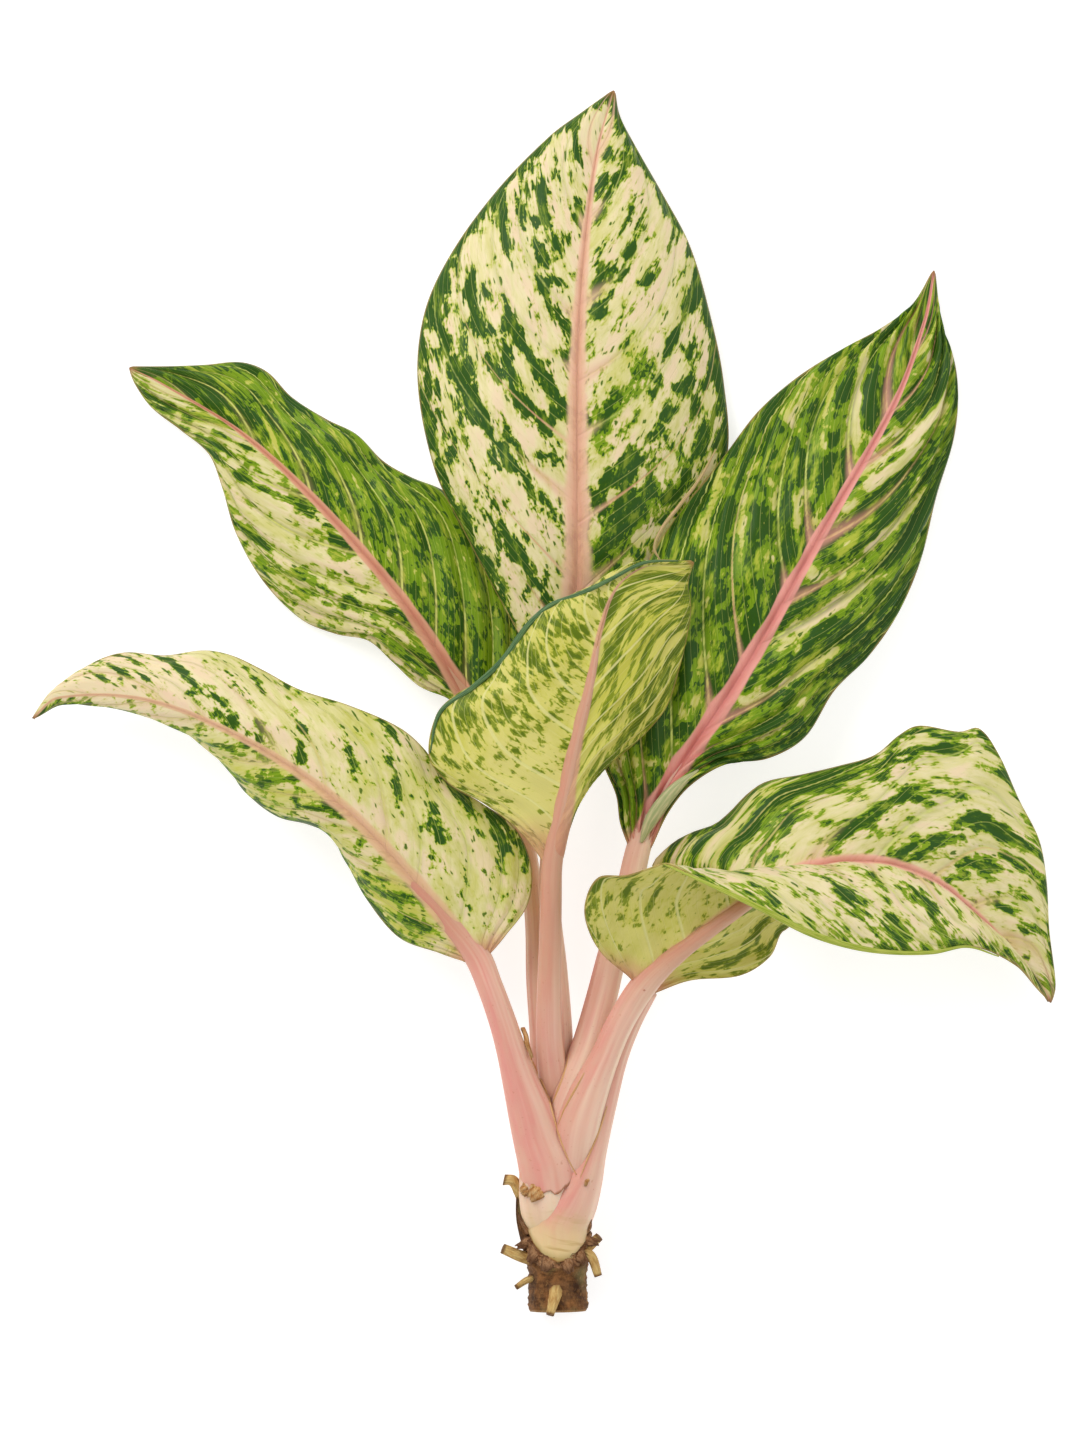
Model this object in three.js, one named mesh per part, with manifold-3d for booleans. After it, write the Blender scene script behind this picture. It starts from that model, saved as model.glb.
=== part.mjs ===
// A cut Chinese evergreen lying on its back: a short cane stub with trimmed roots, six sheathing
// petioles and six broad variegated blades. Millimetres: +Y runs from the stub to the top leaf's
// tip, +Z is up, and the plant rests on the plane z = 0.
import * as THREE from 'three';
import Module from 'manifold-3d';
import { mergeVertices } from 'three/addons/utils/BufferGeometryUtils.js';

const wasm = await Module();
wasm.setup();

// Driving dimensions
const BLADE_THICKNESS = 1.0; // along the middle of each half
const MARGIN_THICKNESS = 0.7;
const KEEL_DEPTH_BASE = 3.0; // how far the midrib stands out of the underside at the leaf's base
const KEEL_DEPTH_TIP = 0.4;
const KEEL_HALF_WIDTH_BASE = 2.6;
const KEEL_HALF_WIDTH_TIP = 0.8;
const BLADE_STATIONS = 20; // rows from base to tip
const BLADE_COLUMNS = 6; // columns from midrib to margin
const TIP_SHARE = 0.982; // the share of the length where the drawn-out tip starts
const SEAM_GAP = 0.3; // clearance between pieces that touch
const ARCH_FADE = 0.7; // how quickly a blade's arch rises from its base and sinks to its tip
const PETIOLE_SIDES = 12;
const PETIOLE_RINGS = 12;
const SHEATH_SIDES = 18; // the outermost sheath is the widest stalk
const CANE_SIDES = 20;
const CANE_RINGS = 22;
const ROOT_SIDES = 7;
const ROOT_RINGS = 5;
const NORMAL_STEP = 0.004; // step used to measure a blade's slope
const CENTRE = new THREE.Vector3(0.34, 0.13, 0); // the point below the middle of the plant

// A leaf is given by its midrib and its two margins, from base to tip. A fourth number is the share
// of the leaf's length where a point belongs, for the leaf that twists.
const LEAVES = {
  top: {
    arch: 6,
    mid: [
      [8, 6, 19], [10, 31, 22], [10.2, 76, 22], [10.5, 108, 20],
      [12.6, 138, 15], [16.5, 167, 7], [21.3, 184.5, 1.6],
    ],
    left: [
      [5, 6, 19], [-3, 14, 18], [-14, 33, 17], [-24, 52, 15], [-32.5, 70, 13], [-37.6, 96, 9],
      [-35.7, 117, 6], [-28, 134.5, 4.5], [-14, 154, 4], [2, 170.5, 3.5], [12, 178, 3], [21, 184.5, 1.6],
    ],
    right: [
      [11, 6, 19], [18, 14, 16], [34, 31, 10], [47, 52, 6], [55.4, 74, 4], [54.3, 97, 4],
      [50, 118, 4], [44, 138, 3.5], [35.5, 154, 3], [27, 169, 2.5], [23, 177, 2.2], [21.6, 184.5, 1.6],
    ],
  },
  left_upper: {
    arch: 5,
    mid: [
      [-13, -15, 12], [-24, 3.6, 12], [-43, 31.5, 13], [-67, 59, 12],
      [-91, 81, 8], [-115, 96, 3.5], [-124.8, 100.8, 1.2],
    ],
    left: [
      [-15.7, -15.8, 12], [-20.5, -6, 10], [-28, 1.2, 9], [-37, 4.8, 8], [-45, 12, 8], [-52.5, 18.6, 8],
      [-62.4, 20.7, 5], [-73, 25.2, 3], [-84.3, 36.6, 4], [-92.4, 51, 6], [-96.6, 65, 8],
      [-100.5, 74.7, 8], [-109, 82, 5], [-118, 89, 3], [-123, 96, 2], [-124.8, 100.5, 1.2],
    ],
    right: [
      [-10.4, -14.2, 12], [-8, -5.4, 10.5], [-6.3, 9.6, 9], [-7.8, 26, 6], [-13, 41, 4], [-20.4, 54.6, 3],
      [-29.4, 63.3, 3], [-40, 67.8, 3], [-48.3, 72.6, 2], [-56.4, 80.7, 4], [-65.4, 85.2, 3],
      [-76, 92, 1.8], [-83.4, 99.6, 2.5], [-91, 102.4, 3], [-102, 101.6, 2.5], [-113, 101.2, 2],
      [-124.6, 101.2, 1.2],
    ],
  },
  right_upper: {
    arch: 5,
    mid: [
      [28.8, -43.2, 24], [36.6, -26.4, 25], [59, 8, 24], [83, 50, 19],
      [105.6, 89.7, 11], [114.9, 114.6, 5], [118, 130.2, 1.4],
    ],
    left: [
      [25.2, -42.4, 24], [23.1, -36, 24], [22, -28, 24], [18, -18, 25], [16.5, -7, 25], [18.6, 6.6, 25],
      [23, 21.6, 24], [29, 36.6, 22], [34.2, 47, 20], [44, 60.6, 14], [54.6, 74, 10.5], [65, 87.6, 8],
      [77, 98, 7], [90.6, 106.5, 5], [102.6, 113, 4], [111.6, 120, 3], [117.8, 130.2, 1.4],
    ],
    right: [
      [32.4, -43.9, 24], [37.5, -33, 26], [44, -25, 27], [54.6, -18.6, 24], [67.5, -16.8, 20],
      [78.6, -10.5, 15], [87.6, 3.6, 12], [98, 14, 9], [107, 27, 6], [113.7, 42.6, 4], [118.5, 62, 3],
      [123.6, 78.6, 2], [125.1, 90.6, 1.8], [124.2, 102, 1.8], [120, 114.6, 2], [118.2, 130.2, 1.4],
    ],
  },
  front: {
    arch: 4,
    keelUp: true,
    mid: [
      [2.7, -48, 36.5], [5.7, -32.4, 40], [9.6, -12.9, 44], [14.1, 6.6, 46],
      [17, 22, 46], [22, 34.5, 44], [32, 41, 40], [44.7, 41.4, 36],
    ],
    left: [
      [0.5, -48, 36.5], [-7, -38.4, 38], [-17.4, -30.3, 37], [-28, -24.3, 36], [-33.9, -16.5, 36],
      [-31.8, -4, 37], [-26.4, 1.8, 38], [-16, 8, 40], [-8.4, 18.6, 42], [0.6, 28, 43],
      [12.6, 33, 43], [23, 38, 42], [32, 42, 40], [44.7, 41.8, 36],
    ],
    right: [
      [5, -48, 36.5], [7, -40, 38], [11, -29.4, 38], [18.6, -19.8, 37], [29, -10.8, 34],
      [36.6, -1.8, 33], [40.5, 9.6, 33], [43, 20, 33], [44.1, 28.2, 33], [43.2, 35, 34], [44.7, 41.2, 36],
    ],
  },
  left_lower: {
    arch: 4,
    mid: [
      [-19.5, -76.3, 30], [-37, -55, 35], [-61, -30, 38], [-88, -11.7, 35],
      [-118, 0.6, 28], [-145, 1.5, 17], [-153.6, -4.8, 9],
    ],
    left: [
      [-23.5, -77.7, 30], [-31, -75, 27], [-43, -70.5, 23], [-52.5, -59.4, 21], [-58.8, -48, 22],
      [-63, -40, 26], [-70, -36.6, 27], [-79.5, -34.2, 23], [-88, -28, 20], [-94.5, -19, 18],
      [-101.4, -10.8, 17], [-110.4, -5.7, 18], [-121, -1.8, 18], [-133, 0.3, 16],
      [-143.4, 0.6, 13], [-153.6, -5, 9],
    ],
    right: [
      [-15.5, -74.9, 30], [-11.4, -70, 31], [-4.5, -60.3, 30], [-3.6, -49, 29], [-8.4, -37.8, 29],
      [-19, -30, 29], [-28.8, -24, 29], [-35.4, -14.4, 30], [-43, -7.8, 30], [-58, -1.2, 30],
      [-73, 3.6, 28], [-84.3, 9.6, 26], [-93.3, 13.8, 25], [-101.4, 15.3, 24], [-113.4, 13.8, 22],
      [-125.4, 14.7, 20], [-134.4, 12, 18], [-145, 5, 14], [-153.4, -4.6, 9],
    ],
  },
  right_lower: {
    arch: -3.5,
    keelUp: true,
    mid: [
      [30, -85, 31, 0], [38, -77.4, 34, 0.08], [50, -68, 38, 0.18], [60.6, -60.3, 40, 0.27],
      [74, -51.3, 38, 0.38], [89, -48, 35, 0.48], [102.6, -48.3, 32, 0.57], [116, -52.8, 29, 0.66],
      [128, -62, 25, 0.76], [140, -74, 20, 0.87], [147.6, -83, 16, 0.94], [152.7, -90.3, 13, 1],
    ],
    left: [
      [26.6, -82.8, 32, 0], [18, -75.6, 39, 0.035], [13.2, -67, 46, 0.09], [12.6, -59.4, 50, 0.14],
      [16.5, -52.2, 53, 0.19], [24.6, -51.6, 55, 0.23], [32, -49.2, 58, 0.27], [37.2, -48, 61, 0.31],
      [47, -52.8, 66, 0.36], [60.6, -58.8, 68, 0.42], [72.6, -65.4, 65, 0.48], [86, -70.8, 58, 0.55],
      [101, -74, 50, 0.64], [116, -74.4, 42, 0.72], [128, -73, 34, 0.8], [141.6, -79, 23, 0.9],
      [148.5, -86.4, 17, 0.96], [152.5, -90.3, 13, 1],
    ],
    right: [
      [33.5, -87.1, 30, 0], [44, -83.4, 27, 0.06], [59, -82, 22, 0.13], [68, -76.5, 18, 0.19],
      [71, -69, 13, 0.24], [62, -59, 9, 0.285], [47, -50, 10, 0.32], [44, -46, 12, 0.345],
      [47, -40, 16, 0.37], [54, -37, 18, 0.395], [61, -28, 20, 0.42], [67, -24, 20, 0.44],
      [77, -22, 21, 0.465], [89, -19.2, 21, 0.5], [99.6, -16, 20, 0.54], [107, -10, 18, 0.575],
      [113, -7.2, 17, 0.61], [125, -9, 15, 0.66], [131, -8, 14, 0.69], [137, -16, 14, 0.74],
      [143, -29.4, 14, 0.79], [149, -41.4, 14, 0.84], [151.2, -53.4, 14, 0.88],
      [152, -68.4, 14, 0.93], [154, -85, 13, 0.98], [152.9, -90.3, 13, 1],
    ],
  },
};

// A stalk is given by its centre line with its half width and half depth: x, y, z, width, depth.
const STALKS = {
  top: [
    [4.5, -128, 13, 3, 3], [5.4, -113.4, 15, 3.6, 3.4], [5.4, -101.4, 16, 3.6, 3.4],
    [3.9, -80, 17, 3.4, 3.2], [2.1, -62, 17.5, 3.2, 3], [2.4, -44, 18, 3.1, 3],
    [6, -12, 18.5, 3, 2.8], [8, 5.6, 18.4, 3, 2.6],
  ],
  left_upper: [
    [2.1, -131, 11, 3, 3], [-0.6, -113.4, 10.5, 3.5, 3.3], [-0.6, -101.4, 10.5, 3.4, 3.2],
    [-1.8, -83.4, 10.5, 3.3, 3.1], [-2.4, -65.4, 11, 3.1, 3], [-4.5, -47.4, 11, 3, 2.9],
    [-8.4, -29.4, 11.5, 3, 2.8], [-12.9, -15.5, 11.4, 3, 2.6],
  ],
  right_upper: [
    [6.9, -123, 15, 3.5, 3.5], [9.9, -113.4, 16, 4.8, 4], [13.5, -103, 17, 4.8, 3.9],
    [17.4, -89.4, 18.5, 4.7, 3.7], [20.7, -76, 20, 4.4, 3.5], [24.9, -61, 22, 4.1, 3.3],
    [28.7, -43.7, 23.6, 3.7, 3],
  ],
  front: [
    [3.9, -121, 19, 2.4, 3], [3.2, -111, 24, 5, 4], [1.8, -101.4, 28, 3.9, 3.6],
    [1.8, -89.4, 31, 3.6, 3.4], [2.1, -74.4, 33.5, 3.3, 3.2], [2.4, -59.4, 35.5, 3, 3],
    [2.7, -48.4, 36.8, 3, 2.8],
  ],
  left_lower: [
    [1.8, -148, 15, 7.5, 6], [1.2, -139, 17.5, 8.7, 6], [-1.4, -131.4, 19, 7.6, 5.5],
    [-4, -122.4, 21, 6.7, 5], [-6.9, -113.4, 23, 5.4, 4.5], [-9.5, -104.4, 25, 4.5, 4],
    [-12.2, -95.4, 27, 4.1, 3.6], [-15.9, -85, 29, 3.9, 3.3], [-19.3, -76.8, 29.6, 4.2, 3],
  ],
  right_lower_inner: [
    [9.3, -137.4, 18, 5.1, 4.5], [10.8, -128.4, 20, 5.7, 4.5], [13.4, -119.4, 22, 5.5, 4.2],
    [18.6, -106.2, 25, 4.2, 3.8], [23.4, -95.4, 28, 3.9, 3.5], [29.75, -85.45, 30.8, 4, 3],
  ],
  right_lower_outer: [
    [4.4, -166.5, 9.6, 9.2, 9], [4.5, -157, 9.9, 10.2, 9.6], [8.1, -149.4, 12, 8.4, 9],
    [12, -142, 14, 6, 7], [14.7, -134.4, 16, 4.2, 5], [18, -120.3, 19, 3.9, 4],
    [21.6, -106.2, 22, 3.9, 3.8], [25.8, -95.4, 25, 3.9, 3.4], [30.6, -87.2, 28.4, 3.4, 3],
  ],
};

// The cane: the bare stub, and the tapering core that the sheaths wrap. x, y, z, width, depth.
const CANE = [
  [4.6, -183.4, 8.2, 8.3, 8.3], [4.6, -182.4, 8.2, 9.0, 9.0], [4.4, -176, 8.2, 8.8, 8.8],
  [4.4, -171.5, 8.3, 8.8, 8.8], [4.4, -169.4, 8.6, 9.5, 9.3], [4.4, -167.6, 9.0, 9.2, 9.0],
  [4.4, -166.4, 9.2, 6.6, 6.4], [4.6, -150, 10.5, 6.0, 5.8], [5.2, -136, 12.5, 4.4, 4.2],
  [5.4, -124, 14, 2.2, 2.2], [5.4, -119, 14.6, 0.9, 0.9],
];

// Trimmed roots: points from inside the cane outward, with the radius at both ends.
const ROOTS = [
  { points: [[0, -170, 9], [-6, -165.5, 11], [-11.7, -163.5, 12]], radii: [2.4, 1.9] },
  { points: [[1, -175, 10], [-4, -174.6, 12.5], [-7.8, -175.5, 13.5]], radii: [1.3, 1.0] },
  { points: [[5, -171, 13], [4.2, -177, 18], [2.1, -183.6, 20]], radii: [2.3, 1.6] },
  { points: [[8, -170, 9], [13.5, -165.5, 11], [16.8, -161.2, 12]], radii: [2.0, 1.5] },
  { points: [[9, -168, 12], [14.6, -168.5, 14.5], [17, -172.6, 16]], radii: [1.8, 1.4] },
];

// The dry strip that runs up the collar's left edge and ends in the highest root.
const DRY_STRIP = {
  points: [[-1, -171, 9.5], [-6.4, -163, 11.5], [-7.2, -155, 13], [-6.6, -149, 14]],
  radii: [1.7, 1.5],
};
const HIGHEST_ROOT = {
  points: [[-7.2, -152, 13.4], [-8.2, -146.5, 15], [-10.4, -143.6, 15.5], [-12.2, -144.2, 14.5]],
  radii: [1.9, 1.5],
};

function lengthShares(points) {
  const lengths = [0];
  for (let i = 1; i < points.length; i += 1) {
    lengths.push(lengths[i - 1] + points[i].distanceTo(points[i - 1]));
  }
  return lengths.map((length) => length / lengths[lengths.length - 1]);
}

// A smooth curve through rows of numbers. It returns a function of the share from 0 to 1.
function smooth(rows, shares) {
  const last = rows.length - 1;
  const slope = (k, c) => {
    const a = Math.max(k - 1, 0);
    const b = Math.min(k + 1, last);
    return (rows[b][c] - rows[a][c]) / (shares[b] - shares[a]);
  };
  return (u) => {
    let i = 0;
    while (i < last - 1 && shares[i + 1] <= u) i += 1;
    const h = shares[i + 1] - shares[i];
    const s = (u - shares[i]) / h;
    const start = (1 + 2 * s) * (1 - s) ** 2;
    const startSlope = s * (1 - s) ** 2 * h;
    const endSlope = s * s * (s - 1) * h;
    return rows[i].map((value, c) => start * value + startSlope * slope(i, c)
      + (1 - start) * rows[i + 1][c] + endSlope * slope(i + 1, c));
  };
}

function placeCurve(rows) {
  const points = rows.map((row) => new THREE.Vector3(row[0], row[1], row[2]));
  const shares = rows[0].length === 4 ? rows.map((row) => row[3]) : lengthShares(points);
  const at = smooth(rows.map((row) => row.slice(0, 3)), shares);
  return (u) => new THREE.Vector3(...at(u));
}

function geometryFrom(vertices, triangles) {
  const geometry = new THREE.BufferGeometry();
  const flat = vertices.flatMap((vertex) => [vertex.x, vertex.y, vertex.z]);
  geometry.setAttribute('position', new THREE.Float32BufferAttribute(flat, 3));
  geometry.setIndex(triangles.flat());
  return geometry;
}

function toSolid(geometry) {
  const bare = geometry.clone();
  bare.deleteAttribute('normal');
  bare.deleteAttribute('uv');
  const merged = mergeVertices(bare);
  return new wasm.Manifold(new wasm.Mesh({
    numProp: 3,
    vertProperties: new Float32Array(merged.attributes.position.array),
    triVerts: new Uint32Array(merged.index.array),
  }));
}

function toGeometry(solid) {
  const mesh = solid.getMesh();
  const geometry = new THREE.BufferGeometry();
  geometry.setAttribute('position', new THREE.BufferAttribute(new Float32Array(mesh.vertProperties), 3));
  geometry.setIndex(new THREE.BufferAttribute(new Uint32Array(mesh.triVerts), 1));
  return geometry;
}

// Of the bodies that a cut leaves, the largest is the piece and the rest are scraps.
function largestBody(solid) {
  const bodies = solid.decompose();
  return bodies.reduce((best, body) => (body.volume() > best.volume() ? body : best));
}

// A closed tube of elliptic rings along a centre line that runs mainly along Y. Nothing of it
// reaches below the floor's height.
function ringLoft(rows, rings, sides, grow, floor) {
  const centres = rows.map((row) => new THREE.Vector3(row[0], row[1], row[2]));
  const at = smooth(rows, lengthShares(centres));
  const place = (u) => new THREE.Vector3(...at(u).slice(0, 3));
  const vertices = [];
  for (let ring = 0; ring <= rings; ring += 1) {
    const u = ring / rings;
    const values = at(u);
    const centre = place(u);
    const along = place(Math.min(u + NORMAL_STEP, 1)).sub(place(Math.max(u - NORMAL_STEP, 0))).normalize();
    if (ring === 0) centre.addScaledVector(along, -grow);
    if (ring === rings) centre.addScaledVector(along, grow);
    const side = new THREE.Vector3().crossVectors(along, new THREE.Vector3(0, 0, 1)).normalize();
    const up = new THREE.Vector3().crossVectors(side, along);
    for (let k = 0; k < sides; k += 1) {
      const angle = (2 * Math.PI * k) / sides;
      const vertex = centre.clone()
        .addScaledVector(side, (values[3] + grow) * Math.cos(angle))
        .addScaledVector(up, (values[4] + grow) * Math.sin(angle));
      vertex.z = Math.max(vertex.z, floor);
      vertices.push(vertex);
    }
  }
  return toSolid(geometryFrom(...closeTube(vertices, rings, sides)));
}

// Joins rings of vertices into a closed tube with a fan at each end.
function closeTube(vertices, rings, sides) {
  const triangles = [];
  for (let ring = 0; ring < rings; ring += 1) {
    for (let k = 0; k < sides; k += 1) {
      const a = ring * sides + k;
      const b = ring * sides + ((k + 1) % sides);
      triangles.push([a, b + sides, b], [a, a + sides, b + sides]);
    }
  }
  const last = rings * sides;
  const middle = (start) => {
    const centre = new THREE.Vector3();
    for (let k = 0; k < sides; k += 1) centre.add(vertices[start + k]);
    return centre.divideScalar(sides);
  };
  const startCentre = vertices.push(middle(0)) - 1;
  const endCentre = vertices.push(middle(last)) - 1;
  for (let k = 0; k < sides; k += 1) {
    const next = (k + 1) % sides;
    triangles.push([startCentre, k, next], [endCentre, last + next, last + k]);
  }
  return [vertices, triangles];
}

// Any direction that no root follows: it turns a root's rings.
const RING_REFERENCE = new THREE.Vector3(0.3, 0.2, 1);

// A root stub: a tapering rod along three or four points, with a blunt end.
function rootSolid({ points, radii }) {
  const line = new THREE.CatmullRomCurve3(points.map((point) => new THREE.Vector3(...point)));
  const vertices = [];
  for (let ring = 0; ring <= ROOT_RINGS; ring += 1) {
    const u = ring / ROOT_RINGS;
    const centre = line.getPoint(u);
    const along = line.getTangent(u);
    const side = new THREE.Vector3().crossVectors(along, RING_REFERENCE).normalize();
    const up = new THREE.Vector3().crossVectors(side, along);
    const radius = THREE.MathUtils.lerp(radii[0], radii[1], u);
    for (let k = 0; k < ROOT_SIDES; k += 1) {
      const angle = (2 * Math.PI * k) / ROOT_SIDES;
      vertices.push(centre.clone()
        .addScaledVector(side, radius * Math.cos(angle))
        .addScaledVector(up, radius * Math.sin(angle)));
    }
  }
  return toSolid(geometryFrom(...closeTube(vertices, ROOT_RINGS, ROOT_SIDES)));
}

// The middle surface of a blade: across runs from -1 at the left margin over 0 at the midrib to 1.
function bladeSurface(leaf) {
  const mid = placeCurve(leaf.mid);
  const margins = { left: placeCurve(leaf.left), right: placeCurve(leaf.right) };
  return (u, across) => {
    const side = across < 0 ? 'left' : 'right';
    const reach = Math.abs(across);
    const root = mid(u);
    const chord = margins[side](u).sub(root);
    const along = mid(Math.min(u + NORMAL_STEP, 1)).sub(mid(Math.max(u - NORMAL_STEP, 0)));
    const out = side === 'left' ? new THREE.Vector3().crossVectors(along, chord)
      : new THREE.Vector3().crossVectors(chord, along);
    const rise = leaf.arch * 4 * reach * (1 - reach) * Math.sin(Math.PI * u) ** ARCH_FADE;
    return root.addScaledVector(chord, reach).addScaledVector(out.normalize(), rise);
  };
}

// Where the columns of one row lie between midrib and margin: the first marks the keel's foot.
function columnShares(halfWidth, keelHalfWidth) {
  const foot = Math.min(keelHalfWidth / halfWidth, 0.5);
  const shares = [0];
  for (let column = 1; column <= BLADE_COLUMNS; column += 1) {
    shares.push(foot + (1 - foot) * ((column - 1) / (BLADE_COLUMNS - 1)));
  }
  return shares;
}

function slopeNormal(surface, u, across) {
  const before = Math.max(u - NORMAL_STEP, 0);
  const after = Math.min(u + NORMAL_STEP, 1);
  const sides = across === 0 ? [-1, 1] : [Math.sign(across)];
  const normal = new THREE.Vector3();
  for (const side of sides) {
    const reach = Math.abs(across);
    const inner = side * Math.max(reach - NORMAL_STEP, 0);
    const outer = side * Math.min(reach + NORMAL_STEP, 1);
    const along = surface(after, across).sub(surface(before, across));
    const over = surface(u, outer).sub(surface(u, inner)).multiplyScalar(side);
    normal.add(new THREE.Vector3().crossVectors(over, along).normalize());
  }
  return normal.normalize();
}

// One blade as a closed body: two faces with alike triangles, joined at both margins and at the
// base, and drawn together in the tip.
function bladeSolid(leaf) {
  const surface = bladeSurface(leaf);
  const width = 2 * BLADE_COLUMNS + 1;
  const upper = [];
  const lower = [];
  for (let row = 0; row <= BLADE_STATIONS; row += 1) {
    const u = TIP_SHARE * (row / BLADE_STATIONS);
    const keelHalfWidth = THREE.MathUtils.lerp(KEEL_HALF_WIDTH_BASE, KEEL_HALF_WIDTH_TIP, u);
    const keelDepth = THREE.MathUtils.lerp(KEEL_DEPTH_BASE, KEEL_DEPTH_TIP, Math.sqrt(u));
    const middle = surface(u, 0);
    for (let column = -BLADE_COLUMNS; column <= BLADE_COLUMNS; column += 1) {
      const side = column < 0 ? -1 : 1;
      const halfWidth = surface(u, side).distanceTo(middle);
      const across = side * columnShares(halfWidth, keelHalfWidth)[Math.abs(column)];
      const place = surface(u, across);
      const normal = slopeNormal(surface, u, across);
      const half = THREE.MathUtils.lerp(BLADE_THICKNESS, MARGIN_THICKNESS, Math.abs(across)) / 2;
      const keel = column === 0 ? keelDepth : 0;
      upper.push(place.clone().addScaledVector(normal, half + (leaf.keelUp ? keel : 0)));
      lower.push(place.clone().addScaledVector(normal, -half - (leaf.keelUp ? 0 : keel)));
    }
  }
  const vertices = [...upper, ...lower];
  const under = upper.length;
  const tip = vertices.push(placeCurve(leaf.mid)(1)) - 1;
  const triangles = [];
  for (let row = 0; row < BLADE_STATIONS; row += 1) {
    for (let column = 0; column < width - 1; column += 1) {
      const a = row * width + column;
      const b = a + 1;
      const c = a + width + 1;
      const d = a + width;
      const quad = column < BLADE_COLUMNS ? [[a, b, c], [a, c, d]] : [[a, b, d], [b, c, d]];
      for (const [p, q, r] of quad) {
        triangles.push([p, q, r], [p + under, r + under, q + under]);
      }
    }
    const left = row * width;
    const right = left + width - 1;
    triangles.push([left, left + width, left + width + under]);
    triangles.push([left, left + width + under, left + under]);
    triangles.push([right, right + under, right + width + under]);
    triangles.push([right, right + width + under, right + width]);
  }
  const end = BLADE_STATIONS * width;
  for (let column = 0; column < width - 1; column += 1) {
    triangles.push([column, column + under, column + 1 + under], [column, column + 1 + under, column + 1]);
    triangles.push([end + column, end + column + 1, tip]);
    triangles.push([end + column + under, tip, end + column + 1 + under]);
  }
  triangles.push([end, tip, end + under], [end + width - 1, end + width - 1 + under, tip]);
  return toSolid(geometryFrom(vertices, triangles));
}

function stalkSolid(name, grow = 0) {
  const sides = name === 'right_lower_outer' ? SHEATH_SIDES : PETIOLE_SIDES;
  return ringLoft(STALKS[name], PETIOLE_RINGS, sides, grow, -Infinity);
}

// The cane is flat where it rests on z = 0.
function caneSolid(grow = 0) {
  return ringLoft(CANE, CANE_RINGS, CANE_SIDES, grow, 0);
}

// The stem: stub and core with the trimmed roots and the dry strip grown out of them.
function stemSolid() {
  const strip = rootSolid(DRY_STRIP).add(rootSolid(HIGHEST_ROOT))
    .subtract(stalkSolid('right_lower_outer', SEAM_GAP))
    .subtract(stalkSolid('left_lower', SEAM_GAP));
  const roots = ROOTS.map((root) => rootSolid(root)
    .subtract(stalkSolid('right_lower_outer', SEAM_GAP)));
  return largestBody([strip, ...roots].reduce((whole, root) => whole.add(root), caneSolid()));
}

// The sheathing stalks, outermost first: each is cut back by the ones that wrap it.
function petioleSolids() {
  const core = caneSolid(SEAM_GAP);
  const order = [
    'right_lower_outer', 'left_lower', 'right_lower_inner', 'right_upper', 'front', 'top', 'left_upper',
  ];
  const pieces = {};
  const wrapping = [];
  for (const name of order) {
    let solid = stalkSolid(name).subtract(core);
    for (const other of wrapping) {
      const samePetiole = name === 'right_lower_inner' && other === 'right_lower_outer';
      if (!samePetiole) solid = solid.subtract(stalkSolid(other, SEAM_GAP));
    }
    pieces[name] = largestBody(solid);
    wrapping.push(name);
  }
  const { right_lower_inner: inner, right_lower_outer: outer, ...rest } = pieces;
  return { ...rest, right_lower: largestBody(inner.add(outer)) };
}

function material(colour, roughness) {
  return new THREE.MeshStandardMaterial({ color: colour, roughness, metalness: 0 });
}

const LOOKS = {
  blade_top: material('#dcd6a0', 0.42),
  blade_left_upper: material('#7f9a45', 0.42),
  blade_right_upper: material('#4f7a3c', 0.4),
  blade_front: material('#c4c672', 0.5),
  blade_left_lower: material('#c9cc88', 0.42),
  blade_right_lower: material('#c2cb96', 0.42),
  petiole: material('#e0aa9a', 0.45),
  stem: material('#8a6a48', 0.8),
};

function pieceMesh(name, solid, look) {
  const geometry = toGeometry(solid).translate(-CENTRE.x, -CENTRE.y, -CENTRE.z);
  const mesh = new THREE.Mesh(geometry, look.clone());
  mesh.name = name;
  return mesh;
}

const plant = new THREE.Group();
plant.add(pieceMesh('stem', stemSolid(), LOOKS.stem));
for (const [name, solid] of Object.entries(petioleSolids())) {
  plant.add(pieceMesh(`petiole_${name}`, solid, LOOKS.petiole));
}
for (const [name, leaf] of Object.entries(LEAVES)) {
  plant.add(pieceMesh(`blade_${name}`, bladeSolid(leaf), LOOKS[`blade_${name}`]));
}

export default plant;
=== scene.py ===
"""A cut Chinese evergreen lying on its back, seen from straight above: a short cane stub with
trimmed roots, six sheathing stalks and six broad variegated blades."""

import math

import bpy
import numpy as np
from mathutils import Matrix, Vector
from mathutils.bvhtree import BVHTree


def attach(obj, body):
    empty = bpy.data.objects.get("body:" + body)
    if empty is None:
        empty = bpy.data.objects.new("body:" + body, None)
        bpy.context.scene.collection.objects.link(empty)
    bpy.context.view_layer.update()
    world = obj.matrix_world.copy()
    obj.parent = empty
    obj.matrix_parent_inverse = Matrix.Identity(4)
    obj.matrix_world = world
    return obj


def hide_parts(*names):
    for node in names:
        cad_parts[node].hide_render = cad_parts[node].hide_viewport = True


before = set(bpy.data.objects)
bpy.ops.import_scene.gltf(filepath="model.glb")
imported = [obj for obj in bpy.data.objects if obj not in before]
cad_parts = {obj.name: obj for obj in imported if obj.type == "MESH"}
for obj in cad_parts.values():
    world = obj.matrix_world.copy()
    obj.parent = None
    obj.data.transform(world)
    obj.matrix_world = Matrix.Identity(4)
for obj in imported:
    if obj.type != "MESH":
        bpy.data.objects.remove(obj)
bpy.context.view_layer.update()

MM = 0.001
CENTRE_MM = np.array([0.34, 0.13, 0.0])  # the point below the middle of the plant
BLADE_ROWS = 170
BLADE_COLUMNS = 52  # on each side of the midrib
ROW_CROWDING = 1.04  # toward the tip
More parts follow.
